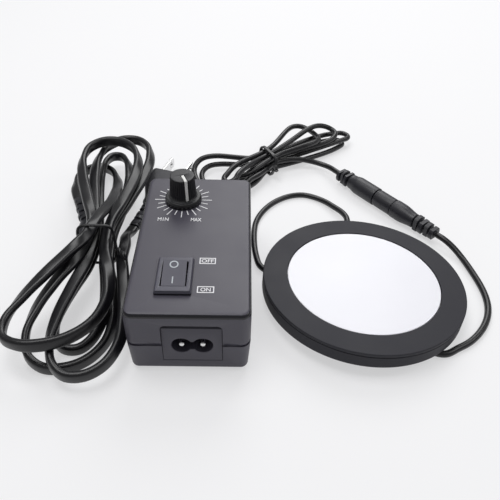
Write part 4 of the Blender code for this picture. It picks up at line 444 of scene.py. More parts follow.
mainsRoute = [(-0.08627, 0.04261, 0.0055), (-0.08756, 0.03863, 0.0055), (-0.08865, 0.03166, 0.00786),
    (-0.08741, 0.02448, 0.00974), (-0.08701, 0.01707, 0.01103), (-0.08643, 0.00962, 0.01186),
    (-0.08552, 0.00552, 0.0117),
    (-0.08546, 0.00523, 0.0117), (-0.0821, -0.0123, 0.01163), (-0.07967, -0.02801, 0.01119),
    (-0.08022, -0.04084, 0.01018), (-0.08454, -0.04991, 0.00887), (-0.09201, -0.05461, 0.00793),
    (-0.09967, -0.05461, 0.00794), (-0.10531, -0.04991, 0.00899), (-0.10828, -0.04084, 0.0108),
    (-0.10798, -0.02801, 0.0129), (-0.10515, -0.0123, 0.01471), (-0.10174, 0.00523, 0.01576),
    (-0.10212, 0.02683, 0.01624), (-0.10694, 0.05104, 0.01689), (-0.1111, 0.07274, 0.01748),
    (-0.11194, 0.09046, 0.01796), (-0.10837, 0.10299, 0.0183), (-0.10116, 0.10948, 0.01848),
    (-0.09262, 0.10948, 0.01849), (-0.08562, 0.10299, 0.01838), (-0.08243, 0.09046, 0.01816),
    (-0.08374, 0.07274, 0.01783), (-0.08838, 0.05104, 0.01736), (-0.09355, 0.02683, 0.01667),
    (-0.0936, 0.00751, 0.01568), (-0.09076, -0.0056, 0.01397), (-0.08937, -0.01736, 0.01101),
    (-0.09032, -0.02695, 0.00759), (-0.09365, -0.03374, 0.00463), (-0.09865, -0.03726, 0.00292),
    (-0.10401, -0.03726, 0.00279), (-0.10826, -0.03374, 0.00345), (-0.11026, -0.02695, 0.00471),
    (-0.10954, -0.01736, 0.00642), (-0.1065, -0.0056, 0.00838), (-0.10242, 0.00751, 0.01028),
    (-0.10176, 0.0267, 0.01094), (-0.10558, 0.05065, 0.01049), (-0.10948, 0.07213, 0.0097),
    (-0.11166, 0.08967, 0.0088), (-0.11116, 0.10207, 0.00801), (-0.10809, 0.10849, 0.00756),
    (-0.10344, 0.10849, 0.00753), (-0.09868, 0.10207, 0.00777), (-0.09514, 0.08967, 0.00822),
    (-0.0935, 0.07213, 0.00887), (-0.09361, 0.05065, 0.00966), (-0.0946, 0.0267, 0.01054),
    (-0.09235, 0.00621, 0.00937), (-0.08751, -0.00943, 0.00715), (-0.08552, -0.02344, 0.00542),
    (-0.08758, -0.03489, 0.0041), (-0.09358, -0.04298, 0.00321), (-0.10213, -0.04717, 0.00276),
    (-0.11098, -0.04717, 0.00295), (-0.11767, -0.04298, 0.00485), (-0.12032, -0.03489, 0.0083),
    (-0.11819, -0.02344, 0.01262), (-0.11203, -0.00943, 0.01691), (-0.10407, 0.00621, 0.0201),
    (-0.10248, 0.02526, 0.02128), (-0.10891, 0.04645, 0.02222), (-0.11513, 0.06544, 0.02305),
    (-0.11794, 0.08094, 0.02374), (-0.11579, 0.09191, 0.02422), (-0.10919, 0.09758, 0.02447),
    (-0.10037, 0.09758, 0.02447), (-0.0923, 0.09191, 0.02422), (-0.08748, 0.08094, 0.02374),
    (-0.08694, 0.06544, 0.02305), (-0.08986, 0.04645, 0.02222), (-0.09381, 0.02526, 0.02128),
    (-0.09275, 0.00647, 0.02042), (-0.08843, -0.00866, 0.01928), (-0.0872, -0.02223, 0.01802),
    (-0.09059, -0.0333, 0.01688), (-0.09844, -0.04113, 0.01602), (-0.10898, -0.04519, 0.01556),
    (-0.11932, -0.04519, 0.01541), (-0.12638, -0.04113, 0.01499), (-0.12794, -0.0333, 0.01555),
    (-0.12346, -0.02223, 0.01819), (-0.11442, -0.00866, 0.02221), (-0.10427, 0.00647, 0.02526),
    (-0.10411, 0.00671, 0.02531), (-0.10171, 0.01006, 0.02604), (-0.1002, 0.01938, 0.02603),
    (-0.09873, 0.02863, 0.02472), (-0.0976, 0.0376, 0.02191), (-0.09718, 0.04655, 0.01883),
    (-0.0977, 0.05548, 0.01573), (-0.0986, 0.0643, 0.01239), (-0.09979, 0.0729, 0.00859),
    (-0.1013, 0.08163, 0.00526), (-0.1033, 0.09066, 0.00327), (-0.10765, 0.09897, 0.00255),
    (-0.11577, 0.10335, 0.00232), (-0.12382, 0.09909, 0.00228), (-0.12679, 0.09022, 0.00265),
    (-0.12555, 0.08096, 0.00376), (-0.12257, 0.07202, 0.0043), (-0.12089, 0.06818, 0.0043)]
outputTieRoute = [(-0.00766, 0.09242, 0.00842), (-0.0085, 0.09295, 0.00819), (-0.00921, 0.09362, 0.00845),
    (-0.00948, 0.09447, 0.00894), (-0.00925, 0.0954, 0.00927), (-0.00877, 0.09628, 0.00915),
    (-0.00841, 0.097, 0.00854), (-0.00849, 0.09756, 0.0077), (-0.00907, 0.09804, 0.00702),
    (-0.0099, 0.09856, 0.00679), (-0.01131, 0.09985, 0.00305), (-0.01127, 0.10009, 0.0021),
    (-0.01141, 0.10063, 0.00128), (-0.01168, 0.10141, 0.00074), (-0.01201, 0.10232, 0.00055),
    (-0.01736, 0.11226, 0.00055), (-0.0177, 0.11317, 0.00074), (-0.01796, 0.11394, 0.00128),
    (-0.0181, 0.11449, 0.0021), (-0.01807, 0.11472, 0.00305), (-0.01794, 0.11479, 0.01134),
    (-0.01772, 0.1147, 0.01229), (-0.01733, 0.11429, 0.0131), (-0.01682, 0.11365, 0.01365),
    (-0.01623, 0.11289, 0.01384), (-0.01063, 0.10309, 0.01384), (-0.01004, 0.10232, 0.01365),
    (-0.00952, 0.10168, 0.0131), (-0.00913, 0.10128, 0.01229), (-0.00891, 0.10118, 0.01134),
    (-0.00947, 0.09908, 0.00845), (-0.00995, 0.0982, 0.00857), (-0.01018, 0.09727, 0.00824),
    (-0.00991, 0.09643, 0.00775), (-0.0092, 0.09575, 0.00749), (-0.00836, 0.09523, 0.00772),
    (-0.00779, 0.09476, 0.0084), (-0.0077, 0.0942, 0.00925), (-0.00806, 0.09347, 0.00985),
    (-0.00855, 0.09259, 0.00998)]
mainsTieRoute = [(-0.07842, -0.00037, 0.0151), (-0.079, 0, 0.01584), (-0.07918, 0.00072, 0.01653),
    (-0.07915, 0.0017, 0.01681), (-0.07921, 0.00268, 0.01657), (-0.0796, 0.00343, 0.016),
    (-0.08038, 0.00382, 0.01549), (-0.08138, 0.00396, 0.01539), (-0.08229, 0.0041, 0.01581),
    (-0.08287, 0.00447, 0.01656), (-0.08305, 0.00519, 0.01725), (-0.08302, 0.00616, 0.01752),
    (-0.08308, 0.00715, 0.01728), (-0.08347, 0.00789, 0.01672), (-0.08425, 0.00829, 0.01621),
    (-0.08525, 0.00843, 0.01611), (-0.08616, 0.00856, 0.01653), (-0.08674, 0.00893, 0.01727),
    (-0.08692, 0.00966, 0.01796), (-0.08689, 0.01063, 0.01824), (-0.08695, 0.01161, 0.018),
    (-0.08734, 0.01236, 0.01743), (-0.08812, 0.01275, 0.01692), (-0.08912, 0.01289, 0.01682),
    (-0.09015, 0.01286, 0.00981), (-0.09037, 0.013, 0.00866), (-0.09102, 0.01315, 0.00769),
    (-0.092, 0.01329, 0.00704), (-0.09315, 0.01344, 0.00681), (-0.10348, 0.01358, 0.00681),
    (-0.10462, 0.01372, 0.00704), (-0.1056, 0.01387, 0.00769), (-0.10625, 0.01401, 0.00866),
    (-0.10648, 0.01416, 0.00981), (-0.10648, 0.0143, 0.02604), (-0.10625, 0.01444, 0.02719),
    (-0.1056, 0.01459, 0.02816), (-0.10462, 0.01473, 0.02881), (-0.10348, 0.01488, 0.02904),
    (-0.09315, 0.01502, 0.02904), (-0.092, 0.01516, 0.02881), (-0.09102, 0.01531, 0.02816),
    (-0.09037, 0.01545, 0.02719), (-0.09015, 0.0156, 0.02604), (-0.08883, 0.01286, 0.0186),
    (-0.08886, 0.01189, 0.01832), (-0.08868, 0.01117, 0.01763), (-0.0881, 0.01079, 0.01688),
    (-0.08719, 0.01066, 0.01646), (-0.08619, 0.01052, 0.01656), (-0.0854, 0.01012, 0.01707),
    (-0.08501, 0.00938, 0.01764), (-0.08496, 0.0084, 0.01788), (-0.08499, 0.00742, 0.0176),
    (-0.08481, 0.0067, 0.01692), (-0.08423, 0.00633, 0.01617), (-0.08332, 0.00619, 0.01575),
    (-0.08232, 0.00605, 0.01585), (-0.08153, 0.00566, 0.01636), (-0.08114, 0.00492, 0.01693),
    (-0.08109, 0.00393, 0.01717), (-0.08112, 0.00296, 0.01689), (-0.08094, 0.00224, 0.0162),
    (-0.08036, 0.00186, 0.01546), (-0.07945, 0.00173, 0.01503), (-0.07845, 0.00159, 0.01513),
    (-0.07766, 0.00119, 0.01564), (-0.07727, 0.00045, 0.01621)]


def ease(rows, spread):  # each row becomes a weighted mean of its neighbours; the ends stay
    window = np.exp(-np.linspace(-2, 2, 2 * spread + 1) ** 2)
    window /= window.sum()
    padded = np.pad(rows, ((spread, spread), (0, 0)), mode="reflect", reflect_type="odd")
    return np.stack([np.convolve(column, window, mode="valid") for column in padded.T], axis=1)


def smoothPath(points, spacing, curved=True, spread=4.2 * mm):  # an even, smooth line through the route
    route = [points[0]]
    for point in points[1:]:
        if math.dist(point, route[-1]) > 0.0008:  # two tubes that meet share one point
            route.append(point)
    knots = np.array(route)
    gaps = np.linalg.norm(np.diff(knots, axis=0), axis=1)
    along = np.concatenate(([0.0], np.cumsum(gaps)))
    slopes = np.gradient(knots, along, axis=0, edge_order=2) if curved else None
    dense = []
    for index, stride in enumerate(gaps):
        u = np.linspace(0, 1, 12, endpoint=False)[:, None]
        start, end = knots[index], knots[index + 1]
        if not curved:
            dense.append(start + (end - start) * u)
            continue
        dense.append((2 * u ** 3 - 3 * u ** 2 + 1) * start
                     + (u ** 3 - 2 * u ** 2 + u) * stride * slopes[index]
                     + (3 * u ** 2 - 2 * u ** 3) * end + (u ** 3 - u ** 2) * stride * slopes[index + 1])
    dense = np.concatenate(dense + [knots[-1:]])
    reach = np.concatenate(([0.0], np.cumsum(np.linalg.norm(np.diff(dense, axis=0), axis=1))))
    wanted = np.linspace(0, reach[-1], max(3, round(reach[-1] / spacing) + 1))
    even = np.stack([np.interp(wanted, reach, dense[:, axis]) for axis in range(3)], axis=1)
    eased = ease(even, round(spread / spacing))
    return eased, float(np.linalg.norm(np.diff(eased, axis=0), axis=1).sum())


def openBends(path, radius, rounds=300):
    # a lead can't fold flat: where a bend is tighter than the radius, its two sides are eased apart
    step = np.linalg.norm(np.diff(path, axis=0), axis=1).mean()
    reach = round(1.6 * radius / step)
    least = 2 * radius * math.sin(reach * step / radius / 2)
    kept = path.copy()
    for _ in range(rounds):
        across = path[reach:] - path[:-reach]
        span = np.linalg.norm(across, axis=1) + 1e-9
        push = across * (np.clip(least - span, 0, None) / span / 8)[:, None]
        push[:, 2] = 0
        path[reach:] += push
        path[:-reach] -= push
        for first in (0, 1):
            lower, upper = path[first:-1:2], path[first + 1::2]
            lower, upper = lower[:len(upper)], upper[:len(lower)]
            links = upper - lower
            fix = links * (0.5 * (1 - step / (np.linalg.norm(links, axis=1) + 1e-9)))[:, None]
            fix[:, 2] = 0
            path[first:first + 2 * len(lower):2] += fix
            path[first + 1:first + 1 + 2 * len(upper):2] -= fix
        path[:12], path[-12:] = kept[:12], kept[-12:]
    return path


def unit(rows):
    return rows / np.linalg.norm(rows, axis=-1, keepdims=True)


def lieFlat(path, width, thickness):
    # which way the broad face of a flat lead turns: level along straight lengths, where it is tied and at
    # its plugs, and on edge round bends, because a flat lead bends only across its thickness
    ways = unit(np.gradient(path, axis=0))
    level = unit(np.cross(ways, (0.0, 0.0, 1.0)))
    rise = np.cross(level, ways)
    step = np.linalg.norm(path[1] - path[0])
    sideways = (np.gradient(ways, axis=0) * level).sum(axis=1) / step
    bank = np.clip(sideways * flatBank["radius"], -1, 1)
    fromEnd = np.minimum(np.arange(len(path)), np.arange(len(path))[::-1])
    ends = np.clip(fromEnd * step / flatBank["ends"], 0, 1)
    bank = ease((bank * ends)[:, None], round(flatBank["spread"] / step))[:, 0] * ends
    turns = bank * math.pi / 2
    low = np.hypot(width / 2 * np.sin(turns), thickness / 2 * np.cos(turns)) + 0.05 * mm
    path[:, 2] += ease(np.maximum(low - path[:, 2], 0.0)[:, None], 3)[:, 0]
    return np.cos(turns)[:, None] * level + np.sin(turns)[:, None] * rise


def sweepTube(name, path, outline, material, broad=None):
    # an outline of (across, up) offsets carried along the path; broad gives the way that across points
    ways = unit(np.gradient(path, axis=0))
    if broad is None:
        broad = [unit(np.cross(ways[0], (0.0, 0.1, 1.0)))]
        for way in ways[1:]:
            carried = broad[-1] - (broad[-1] @ way) * way
            broad.append(carried / np.linalg.norm(carried))
        broad = np.array(broad)
    upward = np.cross(broad, ways)
    rings = []
    last = len(path) - 1
    for index, point in enumerate(path):
        ring = [point + across * broad[index] + high * upward[index] for across, high in outline]
        if index in (0, last):  # a small chamfer at each end
            rings.append([tuple(point + (corner - point) * 0.9) for corner in ring])
        else:
            rings.append([tuple(corner) for corner in ring])
    return loftRings(name, rings, material, smoothAngle=50)


def roundOutline(radius, steps=16):
    angles = [fullTurn * step / steps for step in range(steps)]
    return [(radius * math.cos(angle), radius * math.sin(angle)) for angle in angles]


flatBank = {"radius": 0.024, "ends": 0.016, "spread": 0.016}
leadSettings = {"round": 3.2, "flatWidth": 5.8, "flatThickness": 3.3, "flatRounding": 1.5, "tightest": 4.5,
                "sleeve": 0.3}
roundLead = roundOutline(leadSettings["round"] / 2 * mm)
lampPath, lampLength = smoothPath(lampRoute, 1.0 * mm)
lampLead = sweepTube("lampLead", lampPath, roundLead, cordPvc)
dress(lampLead, "lamp", "cord_jacket", "lamp_lead")

outputPath, outputLength = smoothPath(outputRoute, 1.0 * mm, True, 6.0 * mm)
outputPath = ease(openBends(outputPath, leadSettings["tightest"] * mm), 4)
outputLength = float(np.linalg.norm(np.diff(outputPath, axis=0), axis=1).sum())
outputLead = sweepTube("outputLead", outputPath, roundLead, cordPvc)
dress(outputLead, "base", "cord_jacket", "output_lead_box_end", "output_lead_hank", "output_lead_socket_end")

mainsPath, mainsLength = smoothPath(mainsRoute, 1.3 * mm)
flatSection = roundedOutline(leadSettings["flatWidth"] / 2 * mm, leadSettings["flatThickness"] / 2 * mm,
                             leadSettings["flatRounding"] * mm, 4)
broadWay = lieFlat(mainsPath, leadSettings["flatWidth"] * mm, leadSettings["flatThickness"] * mm)
mainsLead = sweepTube("mainsLead", mainsPath, flatSection, cordPvc, broadWay)
dress(mainsLead, "base", "cord_jacket", "mains_lead_plug_end", "mains_lead_hank",
      "mains_lead_connector_end")

# Ties: a thin coated wire round the mains lead, a flat one round the output lead
tieSettings = {"output": {"route": outputTieRoute[5:-4], "wide": 2.3, "thick": 1.0, "axis": 29},
               "mains": {"route": mainsTieRoute[13:-11], "wide": 1.4, "thick": 1.2, "axis": 90}}
for tieName, tieShape in tieSettings.items():
    tiePath = smoothPath(tieShape["route"], 0.35 * mm, False)[0]
    tieWays = unit(np.gradient(tiePath, axis=0))
    axis = math.radians(tieShape["axis"])
    across = np.array((math.cos(axis), math.sin(axis), 0.0))
    tieBroad = unit(across - (tieWays @ across)[:, None] * tieWays)
    section = roundedOutline(tieShape["wide"] / 2 * mm, tieShape["thick"] / 2 * mm,
                             tieShape["thick"] * 0.45 * mm, 4)
    tie = sweepTube("twistTie_" + tieName, tiePath, section, tieVinyl, tieBroad)
    dress(tie, "base", "tie_coating", tieName + "_lead_tie")
print(f"leads ready: lamp {lampLength:.3f} m, output {outputLength:.3f} m, mains {mainsLength:.3f} m")


# Power box: two moulded shells, their screws and feet

# edgeShadeTop: how far up a face on the roof radius may face and still take the painted shade
caseSettings = {"centre": (-50.375, 0.9), "halfX": 25.25, "halfY": 46.65, "height": 34.4, "corner": 4.0,
                "topEdge": 1.8, "edgeShadeTop": 0.84, "bottomEdge": 2.0, "taper": 1.0, "parting": 16.3,
                "foot": 0.8, "wall": 2.1, "floor": 2.1, "roof": 2.1, "clearance": 0.3, "lipIn": 0.9,
                "lipUp": 2.1, "grooveIn": 0.5, "grooveUp": (1.75, 2.1), "tongueIn": 1.2, "tongueUp": 1.8,
                "flatFrom": 0.8, "screwInset": 6.6, "postRadius": 3.0, "boardTop": 8.3, "pilot": 1.6,
                "pilotUp": 9.6, "boss": 3.6, "bossUp": 3.5, "well": 2.6, "wellUp": 1.9, "bore": 1.6,
                "boreUp": 4.5, "leadSide": 12.0, "leadHole": 3.3}
caseX, caseY = caseSettings["centre"]
caseTop = caseSettings["height"]
caseFront = caseY - caseSettings["halfY"]
caseBack = caseY + caseSettings["halfY"]
gap = caseSettings["clearance"]
grommetX = caseX + caseSettings["leadSide"]
screwCorners = [(caseX + signX * (caseSettings["halfX"] - caseSettings["screwInset"]),
                 caseY + signY * (caseSettings["halfY"] - caseSettings["screwInset"]))
                for signX in (-1, 1) for signY in (-1, 1)]


def caseRing(inset, height, steps=9):
    radius = max(caseSettings["corner"] - inset, 1.0)
    outline = roundedOutline(caseSettings["halfX"] - inset, caseSettings["halfY"] - inset, radius, steps)
    return [(x * mm, y * mm, height * mm) for x, y in shifted(outline, caseX, caseY)]


def taperAt(height):  # how far the lower shell's wall stands in from the parting line's
    s = caseSettings
    return s["taper"] * (s["parting"] - height) / (s["parting"] - s["foot"])


def extruded(name, outline, low, high, material, axis="Z", smoothAngle=35):
    # an outline in millimetres drawn up along Z, or back along Y when its points are x and z
    rings = []
    for level in (low, high):
        if axis == "Z":
            rings.append([(x * mm, y * mm, level * mm) for x, y in outline])
        else:
            rings.append([(x * mm, level * mm, y * mm) for x, y in outline])
    return loftRings(name, rings, material, smoothAngle=smoothAngle)


def disc(name, x, y, radius, low, high, material, steps=40):
    return extruded(name, shifted(roundOutline(radius, steps), x, y), low, high, material)


def inletOutline(growth):
    settings = inletSettings
    half, top, bottom = settings["halfX"] + growth, settings["top"] + growth, settings["bottom"] - growth
    radius = settings["corner"] + growth
    points = [(inletX - half, bottom), (inletX + half, bottom)]
    for side, start in ((1, 0.0), (-1, math.pi / 2)):
        for step in range(7):
            angle = start + math.pi / 2 * step / 6
            points.append((inletX + side * (half - radius) + radius * math.cos(angle),
                           top - radius + radius * math.sin(angle)))
    return points


inletSettings = {"offset": 1.6, "height": 16.0, "halfX": 12.1, "top": 28.3, "bottom": 7.0, "corner": 2.0,
                 "recess": 0.7, "plate": 1.4, "bodyX": 10.25, "bodyZ": 6.0, "depth": 12.2, "lobe": 4.2,
                 "waist": 2.3, "pitch": 8.6, "pin": 1.2, "pinTip": 0.3, "pinHole": 1.5, "reveal": 0.22,
                 "brow": 2.0, "browDeep": 2.5, "lip": ((-0.2, 0.45), (0.25, 0.0)), "backWall": 1.6,
                 "pinBack": 2.5}
inletX = caseX + inletSettings["offset"]
switchSettings = {"offset": (-6.3, -25.2), "outer": (7.5, 10.5), "top": (7.1, 10.1), "body": (6.7, 9.8),
                  "pocket": (5.25, 7.25), "height": 2.0, "depth": 10.2, "pocketDepth": 6.6, "tilt": 8.0,
                  "hollow": 0.1, "pivotDown": 0.8, "faceUp": 1.45, "endAngle": -14, "heel": (0.62, -4.0),
                  "crest": 0.45, "trunnion": 0.32, "trunnionHole": 0.47, "holeReach": 5.95,
                  "bodyCorner": 0.4, "frameCorner": 0.5, "frameFoot": 0.5, "lead": 0.3, "leadDeep": 0.08,
                  "sideGap": 0.1, "edge": 0.18}
switchX, switchY = caseX + switchSettings["offset"][0], caseY + switchSettings["offset"][1]
knobSettings = {"offset": (-7.0, 27.9), "lift": 0.5, "height": 13.6, "top": 5.7, "base": 6.3, "skirt": 8.6,
                "skirtHeight": 2.4, "flutes": 36, "fluteDepth": 0.28, "fluteInside": 5.2, "pointer": -67.0,
                "pointerWidth": 1.3, "pointerStart": 0.3, "pointerDeep": 0.8, "hole": 4.3, "shaftHole": 3.3,
                "shaftHoleDown": 2.1, "nutSpace": 6.2, "nutSpaceTop": 2.6, "skirtEdge": 1.3,
                "skirtSlope": 0.5, "gripFrom": 0.25, "crown": 0.6}
knobX, knobY = caseX + knobSettings["offset"][0], caseY + knobSettings["offset"][1]


def arcRings(startInset, startHeight, radius, rising, steps=6):
    # rings round an edge of the case, from the wall to the flat or back
    rings = []
    for step in range(steps + 1):
        angle = math.pi / 2 * step / steps
        cos, sin = math.cos(angle), math.sin(angle)
        inward, up = (1 - cos, sin) if rising else (1 - sin, 1 - cos)
        rings.append((startInset + radius * inward, startHeight + radius * up))
    return rings


def buildShells():
    s = caseSettings
    parting, roofInside = s["parting"], caseTop - s["roof"]
    wall = s["wall"]
    rim = parting + gap
    lipIn, lipTop = s["lipIn"], parting + s["lipUp"]
    grooveLow, grooveHigh = s["grooveUp"]  # the drafted band over the parting line
    profile = [(wall, roofInside), (wall, lipTop), (lipIn, lipTop), (lipIn, rim), (s["grooveIn"], rim),
               (0.12, rim + grooveLow), (0.0, rim + grooveHigh), (0.0, caseTop - s["topEdge"] - 0.6)]
    profile += arcRings(0.0, caseTop - s["topEdge"], s["topEdge"], True)
    profile.append((s["topEdge"] + s["flatFrom"], caseTop))
    cover = loftRings("topCover", [caseRing(inset, height) for inset, height in profile], mouldedAbs)
    posts, tools = [], []
    for x, y in screwCorners:
        posts.append(disc("post", x, y, s["postRadius"], s["boardTop"] + gap, roofInside + 0.5, mouldedAbs))
        tools.append(disc("pilot", x, y, s["pilot"], s["boardTop"] - 1.0, s["boardTop"] + s["pilotUp"],
                          mouldedAbs))
    combine(cover, posts, "UNION")
    holeX, holeY = switchSettings["body"][0] + gap, switchSettings["body"][1] + gap
    outline = shifted(roundedOutline(holeX, holeY, switchSettings["bodyCorner"], 3), switchX, switchY)
    tools.append(extruded("switchHole", outline, roofInside - 1, caseTop + 1, mouldedAbs))
    tools.append(disc("bushHole", knobX, knobY, knobSettings["hole"], roofInside - 1, caseTop + 1,
                      mouldedAbs))
    combine(cover, tools, "DIFFERENCE")

    floorInside = s["foot"] + s["floor"]
    tongueIn, tongueTop = s["tongueIn"], parting + s["tongueUp"]
    profile = [(s["bottomEdge"] + s["taper"] + s["flatFrom"], s["foot"])]
    profile += [(inset + taperAt(height), height) for inset, height in
                arcRings(0.0, s["foot"], s["bottomEdge"], False)]
    profile += [(0.0, parting), (tongueIn, parting), (tongueIn, tongueTop), (wall, tongueTop),
                (wall + taperAt(parting), parting), (wall + taperAt(floorInside), floorInside)]
    base = loftRings("bottomShell", [caseRing(inset, height) for inset, height in profile], mouldedAbs)
    bosses, wells = [], []
    for x, y in screwCorners:
        bosses.append(disc("boss", x, y, s["boss"], floorInside - 1, floorInside + s["bossUp"], mouldedAbs))
        wells.append(disc("well", x, y, s["well"], -1, floorInside + s["wellUp"], mouldedAbs))
        wells.append(disc("bore", x, y, s["bore"], -1, floorInside + s["boreUp"], mouldedAbs, 24))
    combine(base, bosses, "UNION")
    combine(base, wells, "DIFFERENCE")
    for shell in (cover, base):
        notch = extruded("notch", inletOutline(inletSettings["reveal"]), caseFront - 1, caseFront + 5,
                         mouldedAbs, "Y")
        circle = shifted(roundOutline(s["leadHole"], 32), grommetX, parting)
        backHole = extruded("backHole", circle, caseBack - 5, caseBack + 1, mouldedAbs, "Y")
        combine(shell, [notch, backHole], "DIFFERENCE")
        refine(shell)
    cover.data.materials.append(polishedAbs)  # painted shade: the radius under the roof takes the darker, smoother copy
    # faces on the radius under the roof, picked by how far they face up, get the painted shade
    for face in cover.data.polygons:
        if face.center.z > (caseTop - s["topEdge"]) * mm and 0.08 < face.normal.z < s["edgeShadeTop"]:
            face.material_index = 1
    dress(cover, "base", "case_plastic", "top_cover")
    dress(base, "base", "case_plastic", "bottom_shell")


buildShells()


def placesTree(name, material):
    # Geometry Nodes: one small part set at each point of a mesh of loose points
    tree, start, names = newTree(name, {"Part": "Object", "Scale": "Float"})
    given = start.outputs
    info = addNode(tree, "GeometryNodeObjectInfo", None, {"Object": given["Part"]})
    parts = instanceOn(tree, given["Geometry"], info.outputs["Geometry"], Scale=given["Scale"])
    endTree(tree, parts, material)
    return tree, names


def setAtPoints(name, points, part, material):
    builder = bmesh.new()
    for point in points:
        builder.verts.new([c * mm for c in point])
    carrier = meshPiece(name, builder, material)
    tree, names = placesTree(name + "Tree", material)
    runTree(carrier, tree, names, {"Part": part, "Scale": 1.0})
    bpy.data.objects.remove(part)
    carrier.data.set_sharp_from_angle(angle=math.radians(35))
    return carrier


screwSettings = {"case": {"head": 2.3, "headHeight": 1.6, "crown": 0.5, "shank": 1.3, "long": 14.5,
                          "bottom": 2.9},
                 "lamp": {"head": 1.8, "headHeight": 1.0, "crown": 0.35, "shank": 1.0}}


def crossScrew(name, settings, length):
    # a pan head screw, head down, with a cross recess pressed into it
    head, headHeight, crown, shank = (settings[key] for key in ("head", "headHeight", "crown", "shank"))
    profile = roundedProfile([(head * 0.35, 0.0, 0), (head, crown, crown * 0.8), (head, headHeight, 0)])
    profile += [(shank, headHeight), (shank, length - shank), (shank * 0.45, length)]
    screw = lathe(name, profile, zincSteel, 40)
    recess = []
    for along, across in ((head * 0.62, 0.26), (0.26, head * 0.62)):
        outline = roundedOutline(along, across, 0.1, 2)
        recess.append(extruded("recess", outline, -0.5, headHeight * 0.55, zincSteel))
    return combine(screw, recess, "DIFFERENCE")


screwShape = crossScrew("screwShape", screwSettings["case"], screwSettings["case"]["long"])
casePoints = [(x, y, screwSettings["case"]["bottom"]) for x, y in screwCorners]
caseScrews = setAtPoints("caseScrews", casePoints, screwShape, zincSteel)
dress(caseScrews, "base", "steel", "case_screw_1", "case_screw_2", "case_screw_3", "case_screw_4")

footSettings = {"radius": 4.0, "rounding": 0.25, "spread": (15.75, 29.65)}
footProfile = roundedProfile([(footSettings["radius"], 0, footSettings["rounding"]),
                              (footSettings["radius"], caseSettings["foot"] - gap, 0)])
footShape = lathe("footShape", footProfile, footRubber, 48)
footPoints = [(caseX + signX * footSettings["spread"][0], caseY + signY * footSettings["spread"][1], 0.0)
              for signX in (-1, 1) for signY in (-1, 1)]
feet = setAtPoints("feet", footPoints, footShape, footRubber)
dress(feet, "base", "black_rubber", "foot_1", "foot_2", "foot_3", "foot_4")
print("box shells ready")


# Mains inlet: recessed plate with a figure-eight socket and two round pins

def socketOutline(growth=0.0):
    lobe = inletSettings["lobe"] + growth
    bite = math.asin(inletSettings["waist"] / lobe)
    points = []
    for side in (1, -1):
        start = -math.pi + bite if side == 1 else bite
        for step in range(25):
            angle = start + 2 * (math.pi - bite) * step / 24
            points.append((inletX + side * inletSettings["pitch"] / 2 + lobe * math.cos(angle),
                           inletSettings["height"] + lobe * math.sin(angle)))
    return points


def buildInlet():
    s = inletSettings
    front = caseFront + s["recess"]
    inside = caseFront + caseSettings["wall"] + taperAt(s["bottom"]) + gap
    back = front + s["depth"]
    inlet = extruded("mainsInlet", inletOutline(0.0), front, inside + s["plate"], mouldedAbs, "Y")
    flange = shifted(roundedOutline(s["halfX"] + 1, (s["top"] - s["bottom"]) / 2, 0.5, 3),
                     inletX, (s["top"] + s["bottom"]) / 2)
    body = shifted(roundedOutline(s["bodyX"], s["bodyZ"], 2.0, 6), inletX, s["height"])
    combine(inlet, [extruded("flange", flange, inside, inside + s["plate"], mouldedAbs, "Y"),
                    extruded("body", body, inside, back, mouldedAbs, "Y")], "UNION")
    tools = [extruded("socket", socketOutline(), front - 1, back - s["backWall"], mouldedAbs, "Y")]
    left, right = inletX - s["halfX"] - 1, inletX + s["halfX"] + 1
    low, high = s["top"] - s["brow"], s["top"] + 1
    brow = [(left, low), (right, low), (right, high), (left, high)]
    tools.append(extruded("brow", brow, front - 1, front + s["browDeep"], mouldedAbs, "Y"))
    rings = [[(x * mm, (front + level) * mm, z * mm) for x, z in socketOutline(growth)]
             for level, growth in s["lip"]]
    tools.append(loftRings("socketLip", rings, mouldedAbs))
    for side in (-1, 1):
        circle = shifted(roundOutline(s["pinHole"], 24), inletX + side * s["pitch"] / 2, s["height"])
        tools.append(extruded("pinHole", circle, back - 3, back + 1, mouldedAbs, "Y"))
    combine(inlet, tools, "DIFFERENCE")
    dress(refine(inlet), "base", "dark_plastic", "mains_inlet")
    for side, nodeName in ((-1, "inlet_pin_left"), (1, "inlet_pin_right")):
        tip = front + s["pinTip"]
        length = back + s["pinBack"] - tip
        profile = roundedProfile([(0.25, 0.0, 0), (s["pin"], 0.0, 0.85), (s["pin"], length, 0)], 6)
        pin = lathe("inletPin" + ("Left" if side < 0 else "Right"), profile, nickelPlate, 32)
        pin.matrix_world = placed(inletX + side * s["pitch"] / 2, tip, s["height"], -90, "X")
        dress(settle(pin), "base", "nickel", nodeName)


buildInlet()


# Rocker switch

def paintShadeOnSides(piece, material, slope):  # faces that stand upright take a darker copy of the material: painted shade
    piece.data.materials.append(material)
    for face in piece.data.polygons:
        if abs(face.normal.z) < slope:
            face.material_index = 1
    return piece


